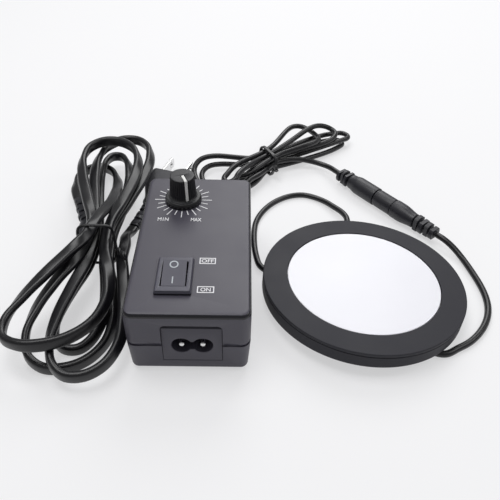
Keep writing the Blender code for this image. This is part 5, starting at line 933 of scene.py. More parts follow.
def buildSwitch():
    s = switchSettings
    bottom, top = caseTop + gap, caseTop + s["height"]
    outerX, outerY = s["outer"]
    topX, topY = s["top"]
    pocketX, pocketY = s["pocket"]
    bodyX, bodyY = s["body"]
    narrow, wide, lead, deep = s["bodyCorner"], s["frameCorner"], s["lead"], s["leadDeep"]
    stack = [(bodyX, bodyY, narrow, caseTop - s["depth"]), (bodyX, bodyY, narrow, bottom),
             (outerX, outerY, wide, bottom), (outerX, outerY, wide, bottom + s["frameFoot"])]
    for step in range(5):
        angle = math.pi / 2 * step / 4
        inward, down = s["crest"] * (1 - math.cos(angle)), s["crest"] * (1 - math.sin(angle))
        stack.append((topX - inward, topY - inward, wide, top - down))
    stack += [(pocketX + lead, pocketY + lead, wide, top),
              (pocketX + deep, pocketY + deep, narrow, top - deep),
              (pocketX, pocketY, narrow, top - lead), (pocketX, pocketY, narrow, top - s["pocketDepth"])]
    rings = []
    for halfX, halfY, corner, z in stack:
        outline = shifted(roundedOutline(halfX, halfY, corner, 4), switchX, switchY)
        rings.append([(x * mm, y * mm, z * mm) for x, y in outline])
    housing = loftRings("switchHousing", rings, smoothNylon)
    pivotZ = top - s["pivotDown"]
    hole = lathe("trunnionHole", [(s["trunnionHole"], -s["holeReach"]), (s["trunnionHole"], s["holeReach"])],
                 smoothNylon, 24)
    hole.matrix_world = placed(switchX, switchY, pivotZ, 90, "Y")
    combine(housing, [settle(hole)], "DIFFERENCE")
    # the housing's upright faces get painted shade, a darker copy of its nylon
    paintShadeOnSides(refine(housing), polishedNylon, 0.4)
    dress(housing, "base", "dark_plastic", "switch_housing")

    pivot = placed(switchX, switchY, pivotZ, s["tilt"], "X")
    swing, middle = pocketY - gap, s["faceUp"]
    endAngle = math.asin(middle / swing)
    side = [(swing * math.cos(a), swing * math.sin(a))
            for a in np.linspace(endAngle, math.radians(s["endAngle"]), 7)]
    faceEnd = side[0]
    face = [(0.0, middle - s["hollow"])]
    for step in range(1, 8):  # one face across both ends, very slightly hollow
        u = step / 8
        face.append((faceEnd[0] * u, middle - s["hollow"] * (1 - u * u)))
    heelShare, heelDown = s["heel"]
    outline = face + side + [(swing * heelShare, heelDown), (-swing * heelShare, heelDown)]
    outline += [(-y, z) for y, z in reversed(side)] + [(-y, z) for y, z in reversed(face[1:])]
    half = pocketX - gap - s["sideGap"]
    rings = [[(x * mm, y * mm, z * mm) for y, z in outline] for x in (-half, half)]
    rocker = loftRings("rockerPaddle", rings, smoothNylon, smoothAngle=30)
    trunnionEnd = pocketX + 0.4
    trunnion = lathe("trunnion", [(s["trunnion"], -trunnionEnd), (s["trunnion"], trunnionEnd)],
                     smoothNylon, 24)
    trunnion.matrix_world = Matrix.Rotation(math.pi / 2, 4, "Y")
    combine(rocker, [settle(trunnion)], "UNION")
    refine(rocker, s["edge"], 30)
    # the rocker's upright sides get painted shade, a darker copy of its nylon
    paintShadeOnSides(rocker, polishedNylon, 0.5)
    rocker.matrix_world = pivot
    dress(settle(rocker), "rocker", "dark_plastic", "rocker")

    markSettings = {"ring": 1.85, "stroke": 0.52, "barHalf": (0.24, 1.75), "at": (4.4, 3.7), "side": -0.4,
                    "thick": 0.08, "sunk": 0.05, "proud": 0.03}
    for name, sign, at in (("markOff", 1, markSettings["at"][0]), ("markOn", -1, markSettings["at"][1])):
        thick = markSettings["thick"]
        if sign > 0:
            outer, inner = markSettings["ring"], markSettings["ring"] - markSettings["stroke"]
            profile = [(inner, 0), (outer, 0), (outer, thick), (inner, thick)]
            mark = lathe(name, profile, greyPrint, 48, closed=True)
        else:
            mark = extruded(name, roundedOutline(*markSettings["barHalf"], 0.1, 2), 0, thick, greyPrint)
        u = at / faceEnd[0]
        z = middle - s["hollow"] * (1 - u * u) + markSettings["proud"]
        slope = math.atan(2 * s["hollow"] * u / faceEnd[0])
        mark.matrix_world = (pivot @ placed(markSettings["side"], sign * at, z - markSettings["sunk"])
                             @ Matrix.Rotation(sign * slope, 4, "X"))
        dress(settle(mark), "rocker", "white_plastic")


buildSwitch()
print("inlet and switch ready")


# Dimmer knob: a turned form whose grip is fluted by a rule, with its pointer line let in

def fluteTree():
    tree, start, names = newTree("fluteRule", {"Flutes": "Float", "Depth": "Float", "Low": "Float",
                                               "High": "Float"})
    place = addNode(tree, "GeometryNodeInputPosition").outputs[0]
    x, y, z = addNode(tree, "ShaderNodeSeparateXYZ", None, {0: place}).outputs
    depth = start.outputs["Depth"]
    phase = compute(tree, "MULTIPLY", compute(tree, "ARCTAN2", y, x), start.outputs["Flutes"])
    valley = compute(tree, "SMOOTH_MIN", compute(tree, "COSINE", phase), 0.2, 0.6)
    inward = compute(tree, "MULTIPLY_ADD", valley, depth, depth)
    flat = vectorNode(tree, "MULTIPLY", {0: place, 1: (1.0, 1.0, 0.0)}).outputs[0]
    away = vectorNode(tree, "NORMALIZE", {0: flat}).outputs[0]
    offset = vectorNode(tree, "SCALE", {0: away, "Scale": compute(tree, "MULTIPLY", inward, -0.5)})
    radius = vectorNode(tree, "LENGTH", {0: flat}).outputs[1]
    tests = []
    for operation, value, limit in (("GREATER_THAN", z, start.outputs["Low"]),
                                    ("LESS_THAN", z, start.outputs["High"]),
                                    ("GREATER_THAN", radius, knobSettings["fluteInside"] * mm)):
        test = addNode(tree, "FunctionNodeCompare", {"operation": operation}, {0: value, 1: limit})
        tests.append(test.outputs[0])
    onGrip = tests[0]
    for test in tests[1:]:
        both = addNode(tree, "FunctionNodeBooleanMath", {"operation": "AND"}, {0: onGrip, 1: test})
        onGrip = both.outputs[0]
    moved = addNode(tree, "GeometryNodeSetPosition", None,
                    {0: start.outputs["Geometry"], "Selection": onGrip, "Offset": offset.outputs[0]})
    endTree(tree, moved.outputs[0], knobAbs)
    return tree, names


def buildKnob():
    s = knobSettings
    low = s["lift"]
    top = low + s["height"]
    skirtTop = low + s["skirtHeight"]
    bodyLow = skirtTop + s["gripFrom"]
    outer = roundedProfile([(s["skirt"], low, 0.15), (s["skirt"], low + s["skirtEdge"], 0.3),
                            (s["skirt"] - s["skirtSlope"], skirtTop, 0.35), (s["base"] + 0.5, skirtTop, 0.3),
                            (s["base"], bodyLow + 0.3, 0)], 4)
    side = [(s["base"] + (s["top"] - s["base"]) * u, bodyLow + 0.5 + (top - bodyLow - 1.1) * u)
            for u in np.linspace(0, 1, 12)]
    crown = roundedProfile([(s["top"], top - s["crown"], 0), (s["top"] - 0.05, top, 0.4),
                            (s["top"] - 0.8, top, 0)], 5)[1:]
    inner = [(s["shaftHole"], top - s["shaftHoleDown"]), (s["shaftHole"], s["nutSpaceTop"]),
             (s["nutSpace"], s["nutSpaceTop"]), (s["nutSpace"], low)]
    knob = lathe("dimmerKnob", inner + outer + side + crown, knobAbs, s["flutes"] * 8, smoothAngle=40)
    tree, names = fluteTree()
    runTree(knob, tree, names, {"Flutes": float(s["flutes"]), "Depth": s["fluteDepth"] * mm,
                                "Low": (bodyLow + 0.4) * mm, "High": (top - 0.3) * mm})
    knob.data.set_sharp_from_angle(angle=math.radians(60))
    turnAxis = placed(knobX, knobY, caseTop, s["pointer"])
    half, deep = s["pointerWidth"] / 2, s["pointerDeep"]
    for name, growth, material in (("pointerSlot", gap, knobAbs), ("pointerLine", 0.0, whiteAbs)):
        proud = 0.1 + growth
        start, under, foot = s["pointerStart"] - growth, top - deep - growth, bodyLow + gap - growth
        line = [(start, top + proud), (s["top"] + proud - 0.35, top + proud), (s["top"] + proud, top - 0.35),
                (s["base"] + proud, foot), (s["base"] - deep - growth, foot),
                (s["top"] - deep - growth, under), (start, under)]
        rings = [[(x * mm, y * mm, z * mm) for x, z in line] for y in (-half - growth, half + growth)]
        bar = loftRings(name, rings, material)
        if growth:
            combine(knob, [bar], "DIFFERENCE")
        else:
            refine(bar, 0.12)
            bar.matrix_world = turnAxis
            dress(settle(bar), "knob", "white_plastic", "knob_pointer")
    # the knob's upright grip and skirt side get painted shade, a darker copy of its plastic
    paintShadeOnSides(refine(knob, 0.0, 60), polishedKnob, 0.6)
    knob.matrix_world = turnAxis
    dress(settle(knob), "knob", "knob_plastic", "knob")


buildKnob()


# White print on the cover: the dial's ticks, MIN and MAX, and the framed ON and OFF

dialSettings = {"count": 24, "from": 8.9, "short": 12.1, "long": 13.6, "stroke": 0.44, "thick": 0.05,
                "letterSpace": {"MIN": 1.22}}
# x from and to beside the box's middle, y from and to over its front, and the inset of a framed word
labelSettings = {"MIN": (-17.6, -12.6, 58.2, 60.6), "MAX": (-2.4, 2.4, 58.2, 60.6), "weight": 0.05,
                 "OFF": (3.3, 10.2, 29.5, 33.3, 0.85), "ON": (3.3, 10.2, 12.5, 16.2, 1.4), "margin": 0.85,
                 "frame": 0.45}


def dialTree():
    tree, start, names = newTree("dialTicks", {"Count": "Int", "From": "Float", "Short": "Float",
                                               "Long": "Float", "Stroke": "Float", "Thick": "Float"})
    given = start.outputs
    points, index = countedPoints(tree, given["Count"])
    odd = compute(tree, "MODULO", index, 2.0)
    reach = addNode(tree, "ShaderNodeMix", {"data_type": "FLOAT"},
                    {0: odd, 2: given["Long"], 3: given["Short"]}).outputs[0]
    length = compute(tree, "SUBTRACT", reach, given["From"])
    middle = compute(tree, "MULTIPLY", compute(tree, "ADD", reach, given["From"]), 0.5)
    moved, angle = ringOf(tree, points, index, given["Count"], combineXyz(tree, middle))
    bar = addNode(tree, "GeometryNodeMeshCube", None, {"Size": (1.0, 1.0, 1.0)}).outputs[0]
    ticks = instanceOn(tree, moved, bar, Rotation=combineXyz(tree, 0.0, 0.0, angle),
                       Scale=combineXyz(tree, length, given["Stroke"], given["Thick"]))
    endTree(tree, ticks, whitePrint)
    return tree, names


def printLayer(name, build):
    piece = build(name)
    piece.data.materials.clear()
    piece.data.materials.append(whitePrint)
    return dress(piece, "base", "white_plastic")


def buildDial(name):
    d = dialSettings
    piece = meshPiece(name, bmesh.new(), whitePrint)
    tree, names = dialTree()
    sizes = {key: d[key.lower()] * mm for key in ("From", "Short", "Long", "Stroke", "Thick")}
    runTree(piece, tree, names, {"Count": d["count"], **sizes})
    piece.matrix_world = placed(knobX, knobY, caseTop + d["thick"] / 2)
    return settle(piece)


def onCover(text):  # a label's box in place on the cover
    x0, x1, y0, y1 = labelSettings[text][:4]
    return caseX + x0, caseX + x1, caseY + y0 - caseSettings["halfY"], caseY + y1 - caseSettings["halfY"]


def lettering(name, text, lowX, highX, lowY, highY):
    # the built-in typeface, fitted to a box on the cover in millimetres
    words = bpy.data.curves.new(name, "FONT")
    words.body = text
    words.size = 0.004
    words.space_character = dialSettings["letterSpace"].get(text, 1.0)
    words.offset = labelSettings["weight"] * mm
    words.extrude = dialSettings["thick"] / 2 * mm
    words.resolution_u = 4
    piece = bpy.data.objects.new(name, words)
    bpy.context.collection.objects.link(piece)
    bpy.context.view_layer.update()
    mesh = bpy.data.meshes.new_from_object(piece.evaluated_get(bpy.context.evaluated_depsgraph_get()))
    bpy.data.objects.remove(piece)
    points = np.array([vertex.co for vertex in mesh.vertices])
    low, high = points.min(axis=0), points.max(axis=0)
    scaleX, scaleY = (highX - lowX) * mm / (high[0] - low[0]), (highY - lowY) * mm / (high[1] - low[1])
    fit = Matrix.Diagonal((scaleX, scaleY, 1.0, 1.0)) @ Matrix.Translation((-low[0], -low[1], 0.0))
    mesh.transform(placed(lowX, lowY, caseTop + dialSettings["thick"] / 2) @ fit)
    builder = bmesh.new()
    builder.from_mesh(mesh)
    bmesh.ops.remove_doubles(builder, verts=builder.verts, dist=1e-7)
    return meshPiece(name, builder, whitePrint)


def labelBox(name, text, lowX, highX, lowY, highY, inset):
    thick, stroke, margin = dialSettings["thick"], labelSettings["frame"], labelSettings["margin"]
    centreX, centreY = (lowX + highX) / 2, (lowY + highY) / 2
    halfX, halfY = (highX - lowX) / 2, (highY - lowY) / 2
    frameRings = []
    for hx, hy, level in ((halfX, halfY, 0), (halfX, halfY, thick), (halfX - stroke, halfY - stroke, thick),
                          (halfX - stroke, halfY - stroke, 0)):
        outline = shifted(roundedOutline(hx, hy, 0.12, 2), centreX, centreY)
        frameRings.append([(x * mm, y * mm, (caseTop + level) * mm) for x, y in outline])
    box = loftRings(name, frameRings, whitePrint, closed=True)
    dress(box, "base", "white_plastic")
    word = lettering(name + "Word", text, lowX + inset, highX - inset, lowY + margin, highY - margin)
    dress(word, "base", "white_plastic")


printLayer("dialTicks", buildDial)
for labelName, labelText in (("labelMin", "MIN"), ("labelMax", "MAX")):
    dress(lettering(labelName, labelText, *onCover(labelText)), "base", "white_plastic")
for labelName, labelText in (("labelOff", "OFF"), ("labelOn", "ON")):
    labelBox(labelName, labelText, *onCover(labelText), labelSettings[labelText][4])
print("knob and print ready")


# Light panel: turned tray and rim, opal diffuser, clear guide edge-lit by a strip of LEDs. Its own frame has
# Z square to the light face, and leans because its lead runs under one edge

panelSettings = {"centre": (28.125, -0.05), "radius": 47.5, "height": 8.0, "window": 36.1, "rimHeight": 1.6,
                 "wall": 1.6, "floor": 1.4, "footEdge": 1.0, "skirt": 1.0, "ledge": 3.4, "diffuser": 1.3,
                 "guide": 2.4, "guideOverlap": 1.2, "sheet": 0.3, "strip": 0.4, "leds": 18, "ledHeight": 0.7,
                 "ledLong": 3.4, "ledHigh": 1.9, "ledSunk": 0.03, "screwRing": 42.7, "boss": 2.6,
                 "bossFrom": 0.7, "bossTo": 3.1, "well": 2.1, "wellTo": 1.6, "bore": 1.3, "boreTo": 4.0,
                 "post": 2.1, "postDown": 3.1, "leanWay": 54.8, "leadOffset": 13.5, "leadUnder": 3.9,
                 "grommetHeight": 3.8, "neck": 1.7, "flange": 0.5, "tail": 4.0}


def panelPlace():
    s = panelSettings
    foot = s["radius"] - s["footEdge"]
    lean = math.asin(s["leadUnder"] / (foot + s["leadOffset"] - leadSettings["round"] / 2))
    way = math.radians(s["leanWay"])
    centre = (s["centre"][0] * mm, s["centre"][1] * mm, foot * math.sin(lean) * mm)
    return Matrix.Translation(centre) @ Matrix.Rotation(lean, 4, Vector((-math.sin(way), math.cos(way), 0)))


panelFrame = panelPlace()


def setInPanel(piece, slot, *replaced):
    piece.matrix_world = panelFrame @ piece.matrix_world
    return dress(settle(piece), "lamp", slot, *replaced)


def boreFromEdge(name, radius, startY, length):  # a round tool along Y, at the height of the lead's grommet
    tool = lathe(name, [(radius, 0.0), (radius, length)], stoveEnamel, 32)
    tool.matrix_world = placed(0, startY, panelSettings["grommetHeight"], -90, "X")
    return settle(tool)


def buildPanel():
    s = panelSettings
    radius, top, window = s["radius"], s["height"], s["window"]
    rimLow = top - s["rimHeight"]
    wallIn = radius - s["wall"]
    screwAt = [(s["screwRing"] * math.cos(a), s["screwRing"] * math.sin(a))
               for a in (math.pi / 6 + fullTurn * index / 3 for index in range(3))]
    profile = [(wallIn, s["floor"]), (wallIn, rimLow - gap), (radius - 0.15, rimLow - gap),
               (radius, rimLow - gap - 0.15)]
    profile += roundedProfile([(radius, 3.0, 0), (radius, 0.0, s["footEdge"]), (radius - 2.0, 0.0, 0)], 6)[1:]
    tray = lathe("lampTray", profile, stoveEnamel, 192)
    bosses = [disc("boss", x, y, s["boss"], s["bossFrom"], s["bossTo"], stoveEnamel) for x, y in screwAt]
    combine(tray, bosses, "UNION")
    tools = [disc("well", x, y, s["well"], -1.0, s["wellTo"], stoveEnamel) for x, y in screwAt]
    tools += [disc("bore", x, y, s["bore"], -1.0, s["boreTo"], stoveEnamel, 24) for x, y in screwAt]
    tools.append(boreFromEdge("leadHole", s["neck"] + gap, wallIn - 1.0, 4.0))
    combine(tray, tools, "DIFFERENCE")
    setInPanel(refine(tray), "panel_paint", "lamp_housing")

    skirtOut = wallIn - gap
    skirtIn = skirtOut - s["skirt"]
    skirtLow = rimLow - s["skirt"]
    profile = [(window, rimLow), (skirtIn, rimLow), (skirtIn, skirtLow), (skirtOut, skirtLow),
               (skirtOut, rimLow), (radius - 0.1, rimLow), (radius, rimLow + 0.12)]
    profile += roundedProfile([(radius, top - 1.0, 0), (radius, top, 0.5), (radius - 1.0, top, 0)], 6)[1:-1]
    profile += [(window + 0.12, top), (window, top - 0.12)]
    rim = lathe("lampRim", profile, stoveEnamel, 256, closed=True)
    posts = [disc("post", x, y, s["post"], rimLow - s["postDown"], rimLow + 0.8, stoveEnamel)
             for x, y in screwAt]
    combine(rim, posts, "UNION")
    tools = [disc("pilot", x, y, s["bore"], rimLow - 4.0, rimLow, stoveEnamel, 24) for x, y in screwAt]
    tools.append(boreFromEdge("rimNotch", s["neck"] + s["flange"] + gap, skirtIn - 1.0, 3.0))
    combine(rim, tools, "DIFFERENCE")
    setInPanel(refine(rim), "panel_paint", "lamp_rim")

    ledgeTop = rimLow - gap
    ledgeLow = ledgeTop - s["diffuser"]
    edge = window - gap
    diffuser = lathe("opalDiffuser", [(window + s["ledge"], ledgeLow), (window + s["ledge"], ledgeTop),
                                      (edge, ledgeTop), (edge, top - gap - 0.15), (edge - 0.15, top - gap)],
                     opalAcrylic, 192)
    setInPanel(refine(diffuser), "diffuser_white", "diffuser")
    guideRadius = window + s["guideOverlap"]
    guideTop = ledgeLow - gap
    guideLow = guideTop - s["guide"]
    guide = lathe("lightGuide", [(guideRadius - 0.1, guideLow), (guideRadius, guideLow + 0.1),
                                 (guideRadius, guideTop - 0.1), (guideRadius - 0.1, guideTop)],
                  clearAcrylic, 128)
    setInPanel(refine(guide), "clear_acrylic", "light_guide")
    sheetTop = guideLow - gap
    sheet = lathe("reflectorSheet", [(guideRadius, sheetTop - s["sheet"]), (guideRadius, sheetTop)],
                  whiteAbs, 96)
    setInPanel(sheet, "white_plastic", "reflector_sheet")

    stripIn = guideRadius + s["ledHeight"] + gap
    stripOut, stripLow = stripIn + s["strip"], s["floor"] + gap
    profile = [(stripIn, stripLow), (stripOut, stripLow), (stripOut, guideTop), (stripIn, guideTop)]
    strip = lathe("ledStrip", profile, whiteAbs, 128, closed=True)
    setInPanel(strip, "white_plastic", "led_ring")
    chips = meshPiece("ledChips", bmesh.new(), ledPhosphor)
    tree, names = ledTree()
    ledAt = stripIn - s["ledHeight"] / 2 + s["ledSunk"]
    runTree(chips, tree, names, {"Count": s["leds"], "Radius": ledAt * mm,
                                 "Height": (stripLow + guideTop) / 2 * mm, "Long": s["ledLong"] * mm,
                                 "Deep": s["ledHeight"] * mm, "High": s["ledHigh"] * mm})
    setInPanel(chips, "white_plastic")

    screwShape = crossScrew("lampScrewShape", screwSettings["lamp"], rimLow - 2 * gap)
    screws = setAtPoints("lampScrews", [(x, y, gap) for x, y in screwAt], screwShape, zincSteel)
    setInPanel(screws, "steel", "lamp_screw_1", "lamp_screw_2", "lamp_screw_3")

    neck, flange = s["neck"], s["neck"] + s["flange"]
    tip = leadSettings["round"] / 2 + leadSettings["sleeve"]
    inside = -s["wall"] - gap
    profile = [(flange, inside - 0.7), (flange, inside), (neck, inside), (neck, gap)]
    profile += roundedProfile([(flange, gap, 0.15), (flange, 3 * gap, 0.15), (tip, s["tail"], 0.1)], 4)
    profile.append((tip - 0.15, s["tail"]))
    grommet = lathe("lampGrommet", profile, plugPvc, 48)
    grommet.matrix_world = placed(0, radius, s["grommetHeight"], -90, "X")
    setInPanel(grommet, "black_rubber", "lamp_grommet")


def ledTree():  # LED chips round the inside of the strip, each facing the edge of the guide
    tree, start, names = newTree("ledRing", {"Count": "Int", "Radius": "Float", "Height": "Float",
                                             "Long": "Float", "Deep": "Float", "High": "Float"})
    given = start.outputs
    points, index = countedPoints(tree, given["Count"])
    moved, angle = ringOf(tree, points, index, given["Count"],
                          combineXyz(tree, given["Radius"], 0.0, given["Height"]))
    size = combineXyz(tree, given["Deep"], given["Long"], given["High"])
    chip = addNode(tree, "GeometryNodeMeshCube", None, {"Size": size}).outputs[0]
    chips = instanceOn(tree, moved, chip, Rotation=combineXyz(tree, 0.0, 0.0, angle))
    endTree(tree, chips, ledPhosphor)
    return tree, names


buildPanel()
print("light panel ready")


# Plugs and strain reliefs: each in its own frame, +X from the lead's end to the face

plugSettings = {
    "joint": {"place": (48.025, 73.9, 5.3), "turn": -51.6},
    "socket": {"length": 29.5, "relief": 9.8, "radius": 5.2, "bore": 3.05, "boreDepth": 10.5, "ribs": 3,
               "ribPitch": 2.95, "ribThick": 1.9, "ribRadius": (4.1, 4.7), "firstRib": 1.3, "root": 0.7,
               "shoulder": 0.8, "swellFrom": 0.82, "swellLong": 5.5, "face": 0.15},
    "lampPlug": {"length": 42.0, "relief": 14.0, "radius": 4.8, "bore": 3.05, "seat": 4.8, "ribs": 4,
                 "ribPitch": 3.4, "ribThick": 2.5, "ribRadius": (3.8, 4.6), "firstRib": 1.8, "root": 0.7,
                 "grip": 5.2, "collar": 12.6, "groove": 0.7, "grooveIn": 0.3, "gripLong": 5.0, "face": 0.15,
                 "gripEnd": 0.84, "shoulder": 0.72},
    "barrel": {"outer": 2.75, "inner": 2.15, "front": -9.5, "back": 4.5, "lead": 0.2, "edge": 0.3},
    "mainsPlug": {"place": (-86.175, 42.9, 5.5), "turn": 72.0, "relief": 21.0, "length": 28.0, "wide": 24.0,
                  "thick": 10.6, "ribs": 5, "ribPitch": 3.7, "ribThick": 2.2, "ribRadius": (3.0, 3.8),
                  "firstRib": 2.4, "coreEnd": (3.2, 2.6, 2.4), "wideSwell": (0.42, 0.72),
                  "thickSwell": (0.74, 0.5), "swellTo": 0.94, "swellSteps": 11, "roundingPart": 3},
    "blade": {"long": 17.0, "thick": 1.5, "wide": 6.4, "pitch": 12.7, "root": 3.9, "chamfer": (1.4, 1.2),
              "hole": 1.6, "holeInset": 4.2, "slot": (4.25, 1.05), "edge": 0.2},
    "connector": {"place": (-120.775, 67.9, 4.3), "turn": -66.6, "relief": 24.0, "length": 21.0, "wide": 15.2,
                  "thick": 8.2, "ribs": 6, "ribPitch": 3.6, "ribThick": 2.1, "ribRadius": (3.0, 3.9),
                  "firstRib": 2.4, "coreEnd": (3.3, 2.9, 2.7), "wideSwell": (0.62, 0.3),
                  "thickSwell": (0.9, 0.3), "swellTo": 0.62, "swellSteps": 8, "roundingPart": 2,
                  "stepAt": 0.64, "step": (0.5, 0.3), "faceIn": (0.8, 0.6), "bore": 1.5, "boreDepth": 5.5,
                  "pitch": 8.6},
    "grommet": {"neck": 3.0, "flange": 4.2, "tail": 12.0, "ribs": 4, "ribPitch": 2.2},
}


def plugPlace(name):
    return placed(*plugSettings[name]["place"], plugSettings[name]["turn"])


def turnedAlongX(name, profile, material, steps=64, closed=False):  # profile of (radius, along)
    piece = lathe(name, profile, material, steps, closed)
    piece.matrix_world = Matrix.Rotation(math.pi / 2, 4, "Y")
    return settle(piece)


def loftAlongX(name, stations, material, steps=8):  # stations of (along, half width, half height, rounding)
    rings = []
    for x, halfWide, halfHigh, rounding in stations:
        outline = roundedOutline(halfWide, halfHigh, min(rounding, halfWide - 0.01, halfHigh - 0.01), steps)
        rings.append([(x * mm, y * mm, z * mm) for y, z in outline])
    return loftRings(name, rings, material)


def eased(low, high, share):  # a soft step between two sizes
    return low + (high - low) * share * share * (3 - 2 * share)


def reliefTree():
    # ribs of a strain relief: each a quarter turn on from the last, growing towards the plug
    tree, start, names = newTree("reliefRibs", {"Rib": "Object", "Count": "Int", "First": "Float",
                                                "Pitch": "Float", "Small": "Float", "Large": "Float"})
    given = start.outputs
    points, index = countedPoints(tree, given["Count"])
    along = compute(tree, "MULTIPLY_ADD", index, given["Pitch"], given["First"])
    moved = movePoints(tree, points, combineXyz(tree, along))
    last = compute(tree, "SUBTRACT", given["Count"], 1.0)
    growth = addNode(tree, "ShaderNodeMapRange", None,
                     {"Value": index, "From Min": 0.0, "From Max": last,
                      "To Min": given["Small"], "To Max": given["Large"]}).outputs[0]
    turned = combineXyz(tree, compute(tree, "MULTIPLY", index, math.pi / 2))
    rib = addNode(tree, "GeometryNodeObjectInfo", None, {"Object": given["Rib"]}).outputs["Geometry"]
    ribs = instanceOn(tree, moved, rib, Rotation=turned, Scale=combineXyz(tree, 1.0, growth, growth))
    endTree(tree, ribs, plugPvc)
    return tree, names


reliefRule = reliefTree()


def ribShape(thick):  # a rib of unit radius with two flats, so that a turned row looks staggered
    outline = []
    for side in (1, -1):
        for angle in np.linspace(-48, 48, 13):
            a = math.radians(angle)
            outline.append((side * math.cos(a), side * math.sin(a)))
    rings = []
    for x, inset in ((-thick / 2, 0.07), (-thick / 2 + 0.2, 0.0), (thick / 2 - 0.2, 0.0), (thick / 2, 0.07)):
        rings.append([(x * mm, y * (1 - inset) * mm, z * (1 - inset) * mm) for y, z in outline])
    return loftRings("ribShape", rings, plugPvc)


def flatStations(s):
    # stations of a moulding on the flat lead: the core of its relief, then a body that swells out of it
    wide, thick = s["wide"] / 2, s["thick"] / 2
    wideFrom, wideOver = s["wideSwell"]
    thickFrom, thickOver = s["thickSwell"]
    stations = [(0.0, 2.7, 1.9, 1.7), (0.2, 2.9, 2.1, 1.9), (s["relief"] - 0.4, *s["coreEnd"])]
    rounding = s["thick"] / s["roundingPart"]
    for u in np.linspace(0, s["swellTo"], s["swellSteps"]):
        stations.append((s["relief"] + s["length"] * u, eased(wide * wideFrom, wide, min(u / wideOver, 1)),
                         eased(thick * thickFrom, thick, min(u / thickOver, 1)), rounding))
    return stations, wide, thick


def addRelief(name, first, settings):
    rib = ribShape(settings["ribThick"])
    ribs = meshPiece(name, bmesh.new(), plugPvc)
    small, large = settings["ribRadius"]
    tree, names = reliefRule
    runTree(ribs, tree, names, {"Rib": rib, "Count": settings["ribs"], "First": first * mm,
                                "Pitch": settings["ribPitch"] * mm, "Small": small, "Large": large})
    bpy.data.objects.remove(rib)
    ribs.data.set_sharp_from_angle(angle=math.radians(35))
    return ribs


def setAt(piece, place, body, slot, *replaced):
    piece.matrix_world = place @ piece.matrix_world
    return dress(settle(piece), body, slot, *replaced)


def buildJoint():
    place = plugPlace("joint")
    s = plugSettings["socket"]
    start, neck = -s["length"], s["relief"] - s["length"]
    wire = leadSettings["round"] / 2 + leadSettings["sleeve"]
    profile = [(wire - 0.1, start), (wire, start + 0.15), (wire + s["root"], neck - 0.2),
               (s["radius"] * s["shoulder"], neck), (s["radius"] * s["shoulder"] + 0.1, neck + 0.4)]
    profile += [(eased(s["radius"] * s["swellFrom"], s["radius"], u), neck + 0.6 + s["swellLong"] * u)
                for u in np.linspace(0, 1, 7)]
    profile += roundedProfile([(s["radius"], -3.0, 0), (s["radius"], -s["face"], 0.3),
                               (s["bore"], -s["face"], 0.3), (s["bore"], -s["boreDepth"], 0)], 4)
    socket = turnedAlongX("outputSocket", profile, plugPvc)
    setAt(socket, place, "base", "black_rubber", "output_socket")
    setAt(addRelief("outputSocketRibs", start + s["firstRib"], s), place, "base", "black_rubber")

    s = plugSettings["lampPlug"]
    end, neck = s["length"], s["length"] - s["relief"]
    nose, body, waist = s["radius"] - 0.1, s["radius"] + 0.15, s["radius"] - s["grooveIn"]
    collar, grip = s["collar"], s["collar"] + s["groove"]
    gripEnd = collar + s["gripLong"] + 0.4
    profile = [(s["bore"], s["seat"]), (s["bore"], 0.45)]
    profile += roundedProfile([(s["bore"] + 0.2, s["face"], 0), (nose, s["face"], 0.3), (nose, 1.2, 0.2),
                               (body, 1.4, 0.2), (body, collar, 0.2), (waist, collar, 0.1),
                               (waist, grip, 0.1), (s["grip"], grip, 0.3),
                               (s["grip"], collar + s["gripLong"], 0)], 4)
    profile += [(eased(s["grip"], s["radius"] * s["gripEnd"], u), gripEnd + (neck - gripEnd - 0.4) * u)
                for u in np.linspace(0, 1, 9)]
    profile += [(s["radius"] * s["shoulder"], neck), (wire + s["root"], neck + 0.2), (wire, end - 0.15),
                (wire - 0.1, end)]
    plug = turnedAlongX("lampPlug", profile, plugPvc)
    setAt(plug, place, "lamp", "black_rubber", "lamp_plug")
    ribs = addRelief("lampPlugRibs", -end + s["firstRib"], s)
    ribs.matrix_world = Matrix.Rotation(math.pi, 4, "Z")  # this relief faces the other way
    setAt(settle(ribs), place, "lamp", "black_rubber")
    b = plugSettings["barrel"]
    front, back, edge = b["front"], b["back"], b["edge"]
    profile = [(b["inner"], front + b["lead"]), (b["inner"] + b["lead"], front), (b["outer"] - edge, front),
               (b["outer"], front + edge), (b["outer"], back), (b["inner"], back)]
    barrel = turnedAlongX("lampPlugBarrel", profile, nickelPlate, 48, True)
    setAt(barrel, place, "lamp", "nickel", "lamp_plug_barrel")


